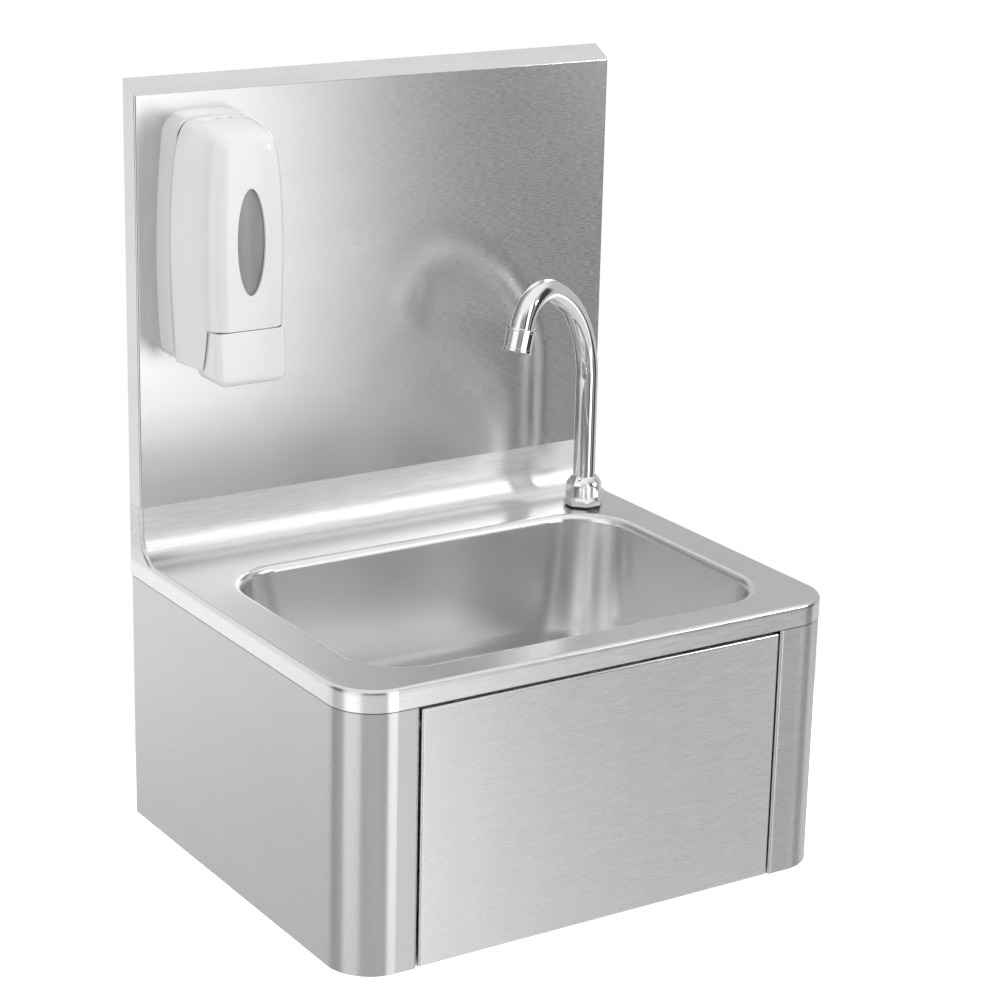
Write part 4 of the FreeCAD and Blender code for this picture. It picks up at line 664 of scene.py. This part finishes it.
class SINK_OT_spout_tube(bpy.types.Operator):
    """The bent tube: a riser, a wide bend, a tight bend and a short end"""

    bl_idname = "sink.spout_tube"
    bl_label = "Spout tube"

    def execute(self, context):
        sizes = settings().spout
        x, y = spout_axis()
        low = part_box("spout_nut")[0].z
        axis = spout_out().cross(UP)
        wide_centre, tight_centre = bend_centres()
        clear_selection()
        bpy.ops.mesh.primitive_circle_add(
            vertices=ROUND_SIDES, radius=sizes.tube_radius, fill_type="NOTHING",
            location=(x, y, low))
        place_in_mesh()
        tube = context.object
        bpy.ops.object.mode_set(mode="EDIT")
        bpy.ops.mesh.select_all(action="SELECT")
        bpy.ops.mesh.extrude_region_move(
            TRANSFORM_OT_translate={"value": (0, 0, counter_height() + sizes.riser - low)})
        bpy.ops.mesh.spin(steps=40, angle=sizes.wide_turn, center=wide_centre, axis=axis)
        bpy.ops.mesh.spin(steps=44, angle=sizes.tight_turn, center=tight_centre, axis=axis)
        heading = spout_tip()[1]
        bpy.ops.mesh.extrude_region_move(
            TRANSFORM_OT_translate={"value": heading * (sizes.end_length - INSERT_ROOM)})
        bpy.ops.mesh.select_all(action="SELECT")
        bpy.ops.mesh.remove_doubles(threshold=HAIR)
        bpy.ops.mesh.normals_make_consistent(inside=False)
        bpy.ops.object.mode_set(mode="OBJECT")
        modify(tube, "SOLIDIFY", thickness=sizes.tube_wall, offset=-1)
        tube = gather("spout_bent_tube", [tube, self.stub(x, y)])
        finish_piece(tube, "spout", "polished chrome", "spout_tube", 40)
        return {"FINISHED"}

    def stub(self, x, y):
        """The turned end with its two seal grooves and the collar above it."""
        profile = [(STUB_RADIUS - STUB_CHAMFER, 0), (STUB_RADIUS, STUB_CHAMFER)]
        for low, high in GROOVES:
            profile += [(STUB_RADIUS, low), (GROOVE_RADIUS, low + HAIR),
                        (GROOVE_RADIUS, high - HAIR), (STUB_RADIUS, high)]
        profile += [(STUB_RADIUS, COLLAR_LOW), (COLLAR_RADIUS - COLLAR_EDGE, COLLAR_LOW + HAIR),
                    (COLLAR_RADIUS, COLLAR_LOW + COLLAR_EDGE),
                    (COLLAR_RADIUS, COLLAR_TOP - COLLAR_EDGE),
                    (COLLAR_RADIUS - COLLAR_EDGE, COLLAR_TOP)]
        stub = turned("spout_stub", ROUND_SIDES, profile)
        bore(stub, STUB_BORE, COLLAR_TOP)
        return put(stub, (x, y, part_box("spout_tube")[0].z))


class SINK_OT_spout_fittings(bpy.types.Operator):
    """The union nut with its domed shoulder and the flat-sided aerator shell"""

    bl_idname = "sink.spout_fittings"
    bl_label = "Spout fittings"

    def execute(self, context):
        tube_radius = settings().spout.tube_radius
        self.nut(tube_radius)
        self.aerator(tube_radius)
        return {"FINISHED"}

    def nut(self, tube_radius):
        """Eight flats under a dome, with room for the tube's collar."""
        low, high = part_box("spout_nut")
        height = high.z - low.z
        flat = (high.x - low.x) / 2
        nut = turned("spout_union_nut", 8,
                     [(flat * wide, height * rise) for wide, rise in NUT_LEVELS],
                     turn=math.radians(22.5))
        modify(nut, "BEVEL", width=SOFT_EDGE, segments=2, limit_method="ANGLE",
               angle_limit=math.radians(30))
        bore(nut, tube_radius + 0.05 * MM, height)
        bore(nut, COLLAR_ROOM_RADIUS, COLLAR_ROOM_HEIGHT)
        put(nut, (*spout_axis(), low.z))
        finish_piece(nut, "basin", "polished chrome", "spout_nut", 14)

    def aerator(self, tube_radius):
        """A shell with flat sides between two plain rims."""
        tip, heading = spout_tip()
        radius, length, waist = AERATOR_RADIUS, AERATOR_LENGTH, AERATOR_RADIUS - AERATOR_STEP
        shell = turned("aerator_shell", 16, [
            (radius - 1.4 * MM, 0), (radius - 0.4 * MM, 0.25 * MM), (radius, 0.9 * MM),
            (radius, 2.2 * MM), (waist, 2.6 * MM), (waist, length - 3.0 * MM),
            (radius, length - 2.6 * MM), (radius, length - 0.8 * MM),
            (radius - 0.4 * MM, length - 0.1 * MM), (radius - AERATOR_WALL, length)])
        bore(shell, tube_radius + 0.1 * MM, length)
        put(shell, tip - heading * length, UP.rotation_difference(heading).to_matrix())
        finish_piece(shell, "spout", "polished chrome", "aerator_housing", 18)


# ---- Soap dispenser ----
# Rise above the lower edge, then shares of the full width and depth.
COVER_LEVELS = [
    (0.9 * MM, 0.87, 0.93), (3 * MM, 0.905, 0.975), (6 * MM, 0.915, 0.985),
    (30 * MM, 0.95, 0.99), (58 * MM, 0.985, 0.997), (85 * MM, 1.0, 1.0),
    (112 * MM, 0.985, 0.998), (134 * MM, 0.945, 0.99), (150 * MM, 0.895, 0.975),
    (160 * MM, 0.845, 0.955), (166 * MM, 0.80, 0.92), (170.5 * MM, 0.745, 0.81),
    (174.5 * MM, 0.65, 0.50), (177.2 * MM, 0.50, 0.20)]
# Share of the window's half width and half height, then depth behind the cover's front.
LENS_LEVELS = [
    (1.2, -3.2 * MM), (1.2, -2.2 * MM), (1.0, -2.2 * MM), (1.0, -1.3 * MM),
    (0.985, -1.1 * MM), (0.9, -0.95 * MM), (0.7, -0.75 * MM), (0.4, -0.6 * MM),
    (0.15, -0.55 * MM)]
LENS_SLACK = 0.05 * MM
SMOOTHING_LOSS = 1.025  # subdividing draws the cover's face back by this share
CUT_PAST = 9 * MM
FLOOR_DEPTH, FACE_DEPTH = 12 * MM, 10 * MM
FULL_HALF = 0.05
HINGE = Vector((0, -3 * MM, 2.6 * MM))
EAR_INNER, EAR_WIDTH, EAR_RADIUS, EAR_ROOT = 22.8 * MM, 2.5 * MM, 2.4 * MM, 13 * MM
HINGE_ROOM = 5.5 * MM
HANGER_INNER, HANGER_WIDTH, HANGER_HALF = 22 * MM, 2.5 * MM, 3 * MM
BOSS_INNER, BOSS_WIDTH, BOSS_RADIUS = 24.8 * MM, 2.6 * MM, 3 * MM
ARM_INNER, ARM_WIDTH, ARM_HEIGHT, ARM_TIP = 6.2 * MM, 4 * MM, 3 * MM, 1.5 * MM
ARM_END, ARM_RISE = 34 * MM, 8 * MM
LEVER_SIDE, LEVER_FOOT, LEVER_BACK = 0.8 * MM, 1.4 * MM, 4 * MM
LEVER_LEAN, LEVER_ROUND = 3.2 * MM, 5 * MM


def soap_origin():
    """The dispenser's middle in x, the cover's parting in y and its lower edge in z."""
    low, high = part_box("dispenser_cover")
    return Vector(((low.x + high.x) / 2, high.y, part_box("dispenser_back")[0].z))


def lever_pin_place():
    """The middle of the lever's pin."""
    low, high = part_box("lever_pin")
    return (low + high) / 2


def barrel(name, half_back, half_front, depth, corner):
    """An upright body: a plan, open behind, drawn up through the cover's levels."""
    origin = soap_origin()
    clear_selection()
    bpy.ops.mesh.primitive_plane_add(size=1, location=(origin.x, origin.y - depth / 2, 0))
    body = bpy.context.object
    body.name = name
    body.scale = (2 * half_back, depth, 1)
    place_in_mesh()
    front = origin.y - depth
    bpy.ops.object.mode_set(mode="EDIT")
    select_where(lambda p: p.y < front + MM)
    bpy.ops.transform.resize(value=(half_front / half_back, 1, 1),
                             center_override=(origin.x, front, 0))
    bpy.ops.mesh.bevel(offset=corner, segments=4, affect="VERTICES", offset_type="OFFSET")
    bpy.ops.mesh.select_all(action="SELECT")
    rise, wide, deep = COVER_LEVELS[0]
    anchor = (origin.x, origin.y, 0)
    bpy.ops.transform.resize(value=(wide, deep, 1), center_override=anchor)
    bpy.ops.transform.translate(value=(0, 0, origin.z + rise))
    for next_rise, next_wide, next_deep in COVER_LEVELS[1:]:
        bpy.ops.mesh.extrude_region_move(
            TRANSFORM_OT_translate={"value": (0, 0, next_rise - rise)})
        bpy.ops.transform.resize(value=(next_wide / wide, next_deep / deep, 1),
                                 center_override=anchor)
        rise, wide, deep = next_rise, next_wide, next_deep
    face_outwards()
    select_where(lambda p: abs(p.y - origin.y) < HAIR, "faces")
    bpy.ops.mesh.delete(type="FACE")
    bpy.ops.object.mode_set(mode="OBJECT")
    return body


def close_behind(body, back):
    """Fills the opening in the plane y = back with one face."""
    pick(body)
    bpy.ops.object.mode_set(mode="EDIT")
    select_where(lambda p: abs(p.y - back) < 5 * HAIR, "edges")
    bpy.ops.mesh.edge_face_add()
    bpy.ops.object.mode_set(mode="OBJECT")


def core_of(body, wall, back):
    """A copy of a closed body drawn in by its wall, and drawn out behind."""
    pick(body)
    bpy.ops.object.duplicate()
    bpy.ops.object.mode_set(mode="EDIT")
    bpy.ops.mesh.select_all(action="SELECT")
    bpy.ops.transform.shrink_fatten(value=-wall, use_even_offset=True)
    select_where(lambda p: p.y > back - 1.5 * wall)
    bpy.ops.transform.translate(value=(0, 3 * wall, 0))
    bpy.ops.object.mode_set(mode="OBJECT")
    return bpy.context.object


def window_oval(low_y, high_y):
    """An upright oval column round the window's middle."""
    sizes = settings().dispenser
    origin = soap_origin()
    clear_selection()
    bpy.ops.mesh.primitive_cylinder_add(
        vertices=96, radius=1, depth=high_y - low_y, rotation=(math.pi / 2, 0, 0),
        location=(origin.x, (low_y + high_y) / 2, origin.z + sizes.window_rise))
    bpy.ops.object.transform_apply(location=False, rotation=True, scale=True)
    column = bpy.context.object
    column.scale = (sizes.window_half_x, 1, sizes.window_half_z)
    place_in_mesh()
    return column


class SINK_OT_dispenser_cover(bpy.types.Operator):
    """The moulded front shell with its window hole and the room for the lever"""

    bl_idname = "sink.dispenser_cover"
    bl_label = "Dispenser cover"

    def execute(self, context):
        sizes = settings().dispenser
        origin = soap_origin()
        low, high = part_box("dispenser_cover")
        cover = barrel("dispenser_cover_shell", (high.x - low.x) / 2, sizes.front_half,
                       (high.y - low.y) * SMOOTHING_LOSS, sizes.front_corner)
        modify(cover, "SUBSURF", levels=2, render_levels=2)
        close_behind(cover, origin.y)
        cut(cover, core_of(cover, sizes.wall, origin.y))
        seam_top = origin.z + sizes.lever_top + sizes.seam
        lever_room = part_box("dispenser_lever")[1].x - origin.x + sizes.seam
        for half, front, back, top in (
                (lever_room, low.y - CUT_PAST, origin.y - FLOOR_DEPTH, seam_top),
                (FULL_HALF, low.y - CUT_PAST, low.y + FACE_DEPTH, seam_top),
                (EAR_INNER, origin.y - HINGE_ROOM, origin.y + MM, origin.z + HINGE_ROOM)):
            cut(cover, box_between((origin.x - half, front, origin.z - CUT_PAST),
                                   (origin.x + half, back, top)))
        cut(cover, window_oval(low.y - 5 * MM, low.y + 20 * MM))
        for side in (-1, 1):
            clear_selection()
            bpy.ops.mesh.primitive_cylinder_add(
                vertices=24, radius=1.5 * MM, depth=40 * MM,
                location=(origin.x + side * 5 * MM, low.y + 40 * MM, high.z))
            cut(cover, bpy.context.object)
        cover = gather("dispenser_cover_shell", [cover] + self.brackets(origin, low.y))
        finish_piece(cover, "dispenser_cover", "dispenser plastic",
                     "dispenser_cover", 30)
        return {"FINISHED"}

    def brackets(self, origin, front):
        """Two ears round the hinge pins and two hangers that hold the lever's pin."""
        sizes = settings().dispenser
        hinge = origin + HINGE
        pin = lever_pin_place()
        root = origin.z + sizes.lever_top + sizes.seam
        parts = []
        for start in both_sides(EAR_INNER, EAR_WIDTH):
            side = origin.x + start
            parts.append(moulded_bar((side, origin.y - EAR_ROOT, hinge.z - EAR_RADIUS),
                                     (side + EAR_WIDTH, hinge.y, hinge.z + EAR_RADIUS)))
            parts.append(cross_rod(hinge + Vector((start, 0, 0)), EAR_RADIUS, EAR_WIDTH))
        for start in both_sides(HANGER_INNER, HANGER_WIDTH):
            near, far = origin.x + start, origin.x + start + HANGER_WIDTH
            back = pin.y + HANGER_HALF
            parts.append(moulded_bar((near, front + 4.2 * MM, root),
                                     (far, back, root + 2 * MM)))
            parts.append(moulded_bar((near, pin.y - HANGER_HALF, pin.z - HANGER_HALF),
                                     (far, back, root + MM)))
        return parts


class SINK_OT_dispenser_window(bpy.types.Operator):
    """The smoked lens, set back in its hole and slightly domed"""

    bl_idname = "sink.dispenser_window"
    bl_label = "Dispenser window"

    def execute(self, context):
        sizes = settings().dispenser
        origin = soap_origin()
        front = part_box("dispenser_cover")[0].y
        lens = turned("dispenser_lens", 96, LENS_LEVELS)
        wide = sizes.window_half_x - LENS_SLACK
        tall = sizes.window_half_z - LENS_SLACK
        shape = Matrix(((wide, 0, 0), (0, 0, -1), (0, tall, 0)))
        put(lens, (origin.x, front, origin.z + sizes.window_rise), shape)
        finish_piece(lens, "dispenser_cover", "smoked window",
                     "dispenser_window", 40)
        return {"FINISHED"}


class SINK_OT_dispenser_lever(bpy.types.Operator):
    """The push lever: a hollow plate whose face swells towards the bottom"""

    bl_idname = "sink.dispenser_lever"
    bl_label = "Dispenser lever"

    def execute(self, context):
        sizes = settings().dispenser
        origin = soap_origin()
        low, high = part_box("dispenser_lever")
        low = low + Vector((LEVER_SIDE, 0, LEVER_FOOT))
        high = high - Vector((LEVER_SIDE, LEVER_BACK, 0))
        lever = box_between(low, high)
        bpy.ops.object.mode_set(mode="EDIT")
        select_where(lambda p: p.z > high.z - HAIR and p.y < low.y + HAIR)
        bpy.ops.transform.translate(value=(0, LEVER_LEAN, 0))
        select_where(lambda p: abs(p.x - origin.x) > 20 * MM and p.z < low.z + HAIR, "edges")
        bpy.ops.mesh.bevel(offset=sizes.lever_corner, segments=8, affect="EDGES")
        select_where(lambda p: p.y < low.y + 0.8 * LEVER_LEAN and p.z < high.z - HAIR, "edges")
        bpy.ops.mesh.bevel(offset=LEVER_ROUND, segments=6, affect="EDGES")
        select_where(lambda p: p.y > high.y - HAIR or p.z > high.z - HAIR, "faces")
        bpy.ops.mesh.delete(type="FACE")
        bpy.ops.object.mode_set(mode="OBJECT")
        modify(lever, "SOLIDIFY", thickness=sizes.wall, offset=-1, use_even_offset=True)
        lever = gather("dispenser_lever_plate", [lever] + self.works(origin, low.y))
        finish_piece(lever, "dispenser_lever", "dispenser plastic",
                     "dispenser_lever", 35)
        return {"FINISHED"}

    def works(self, origin, front):
        """Two bosses on the pin and the fork under the pump's piston."""
        pin = lever_pin_place()
        end, top = front + ARM_END, origin.z + ARM_RISE
        parts = []
        for start in both_sides(BOSS_INNER, BOSS_WIDTH):
            parts.append(cross_rod((origin.x + start, pin.y, pin.z), BOSS_RADIUS, BOSS_WIDTH))
        for start in both_sides(ARM_INNER, ARM_WIDTH):
            side = origin.x + start
            parts.append(moulded_bar((side, front + MM, top - ARM_HEIGHT),
                                     (side + ARM_WIDTH, end, top)))
            parts.append(cross_rod((side, end, top), ARM_TIP, ARM_WIDTH))
        return parts


# ---- Finishes of the part's own solids ----
class SINK_OT_finishes(bpy.types.Operator):
    """Steel, chrome, brass, rubber and plastic for the part's own solids"""

    bl_idname = "sink.finishes"
    bl_label = "Finishes"

    def execute(self, context):
        for material, nodes in finishes():
            for node in nodes:
                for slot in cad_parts[node].material_slots:
                    slot.material = material
        return {"FINISHED"}


# ---- Stage ----
# Direction from straight in front, in degrees towards the user's right, and brightness.
STUDIO_RING = (
    (-138, 1.05), (-126, 0.2), (-100, 0.2), (-91, 1.2), (-60, 1.2),
    (-51, 0.45), (-8, 0.3), (-3, 0.1), (5, 0.1), (9, 1.9), (27, 1.9), (29, 1.2), (30.6, 0.05),
    (38, 0.04), (41, 0.35), (50, 0.4), (57, 0.06), (74, 0.06), (82, 0.6), (165, 0.6),
    (179, 1.05))
RING_SCALE = 2  # a colour ramp holds no more than 1, so the ring is stored divided by this
# Where the ring gives way, from and to in degrees of elevation, and the brightness there.
GROUND_FADE, GROUND_LEVEL = (-20, -27), 1.35
SKY_FADE, SKY_LEVEL = (25, 55), 1.05
KEY_PLACE, KEY_TARGET, KEY_SIZE, KEY_POWER = (1.23, -1.21, 0.9), (0, -0.1, 0.2), 0.14, 10
FLOOR_SIZE, FLOOR_GREY = 3, (0.75, 0.75, 0.75, 1)
WHITE = (1, 1, 1, 1)


def studio_world():
    """White to the eye; metal mirrors a ring of soft boxes and darker room between them."""
    world = bpy.data.worlds.new("pale studio")
    world.use_nodes = True
    background = world.node_tree.nodes["Background"]
    background.inputs["Color"].default_value = WHITE
    place = add_node(world, "ShaderNodeTexCoord")
    split = add_node(world, "ShaderNodeSeparateXYZ")
    join(world, place.outputs["Generated"], split.inputs["Vector"])
    forward = add_node(world, "ShaderNodeMath", operation="MULTIPLY")
    forward.inputs[1].default_value = -1
    join(world, split.outputs["Y"], forward.inputs[0])
    angle = add_node(world, "ShaderNodeMath", operation="ARCTAN2")
    join(world, split.outputs["X"], angle.inputs[0])
    join(world, forward.outputs[0], angle.inputs[1])
    turn = add_node(world, "ShaderNodeMapRange")
    turn.inputs["From Min"].default_value = -math.pi
    turn.inputs["From Max"].default_value = math.pi
    join(world, angle.outputs[0], turn.inputs["Value"])
    ring = add_node(world, "ShaderNodeValToRGB")
    ring.color_ramp.interpolation = "EASE"
    join(world, turn.outputs["Result"], ring.inputs["Fac"])
    stops = ring.color_ramp.elements
    for degrees, brightness in STUDIO_RING:
        stop = stops.new((degrees + 180) / 360)
        stop.color = (brightness / RING_SCALE,) * 3 + (1,)
    for end in (stops[0], stops[-1]):
        end.color = (0.5, 0.5, 0.5, 1)
    level = add_node(world, "ShaderNodeMath", operation="MULTIPLY")
    level.inputs[1].default_value = RING_SCALE
    join(world, ring.outputs["Color"], level.inputs[0])
    lit = level.outputs[0]
    for fades, brightness in ((GROUND_FADE, GROUND_LEVEL), (SKY_FADE, SKY_LEVEL)):
        start, end = (math.sin(math.radians(degrees)) for degrees in fades)
        lit = mix_values(world, fade(world, split.outputs["Z"], start, end), lit, brightness)
    for kind in ("Is Camera Ray", "Is Transmission Ray"):
        lit = mix_values(world, ray_kind(world, kind), lit, 1.0)
    join(world, lit, background.inputs["Strength"])
    return world


def key_lamp():
    """A small lamp high on the right, which throws the spout's shadow."""
    clear_selection()
    bpy.ops.object.light_add(type="AREA", location=KEY_PLACE)
    lamp = bpy.context.object
    lamp.name = "key lamp"
    lamp.data.shape = "RECTANGLE"
    lamp.data.size = lamp.data.size_y = KEY_SIZE
    lamp.data.energy = KEY_POWER
    direction = Vector(KEY_TARGET) - lamp.location
    lamp.rotation_euler = direction.to_track_quat("-Z", "Y").to_euler()


class SINK_OT_stage(bpy.types.Operator):
    """Camera, one soft lamp, pale world and floor"""

    bl_idname = "sink.stage"
    bl_label = "Stage"

    def execute(self, context):
        look = settings().stage
        clear_selection()
        bpy.ops.object.camera_add(location=look.camera_place)
        camera = context.object
        camera.name = "camera"
        turn = (Matrix.Rotation(-look.camera_yaw, 3, "Z")
                @ Matrix.Rotation(math.pi / 2 + look.camera_pitch, 3, "X")
                @ Matrix.Rotation(look.camera_roll, 3, "Z"))
        camera.rotation_euler = turn.to_euler()
        camera.data.lens = look.camera_lens
        camera.data.clip_start = 0.01
        context.scene.camera = camera
        context.scene.world = studio_world()
        context.scene.view_settings.view_transform = "Standard"
        key_lamp()
        clear_selection()
        bpy.ops.mesh.primitive_plane_add(size=FLOOR_SIZE, location=(0, 0, -look.floor_drop))
        floor = context.object
        floor.name = "floor"
        material, shader = new_material("pale floor")
        shader.inputs["Base Color"].default_value = FLOOR_GREY
        shader.inputs["Roughness"].default_value = 0.9
        shader.inputs["Emission Color"].default_value = WHITE
        join(material, ray_kind(material, "Is Camera Ray"),
             shader.inputs["Emission Strength"])
        floor.data.materials.append(material)
        return {"FINISHED"}


class SINK_PT_panel(bpy.types.Panel):
    """Lists the sink's sizes and pieces"""

    bl_label = "Sink"
    bl_space_type = "VIEW_3D"
    bl_region_type = "UI"
    bl_category = "Sink"

    def draw(self, context):
        for name, group in GROUPS.items():
            values = getattr(settings(), name)
            for prop in group.__annotations__:
                self.layout.prop(values, prop)
        for operator in OPERATORS:
            self.layout.operator(operator.bl_idname)


OPERATORS = (SINK_OT_stage, SINK_OT_finishes, SINK_OT_spout_tube, SINK_OT_spout_fittings,
             SINK_OT_dispenser_cover, SINK_OT_dispenser_window, SINK_OT_dispenser_lever)
CLASSES = (*GROUPS.values(), SinkSettings, *OPERATORS, SINK_PT_panel)


def register():
    for kind in CLASSES:
        bpy.utils.register_class(kind)
    bpy.types.Scene.sink_settings = PointerProperty(type=SinkSettings)


def unregister():
    del bpy.types.Scene.sink_settings
    for kind in reversed(CLASSES):
        bpy.utils.unregister_class(kind)


def main():
    register()
    for operator in OPERATORS:
        group, name = operator.bl_idname.split(".")
        getattr(getattr(bpy.ops, group), name)()


if __name__ == "__main__":
    main()
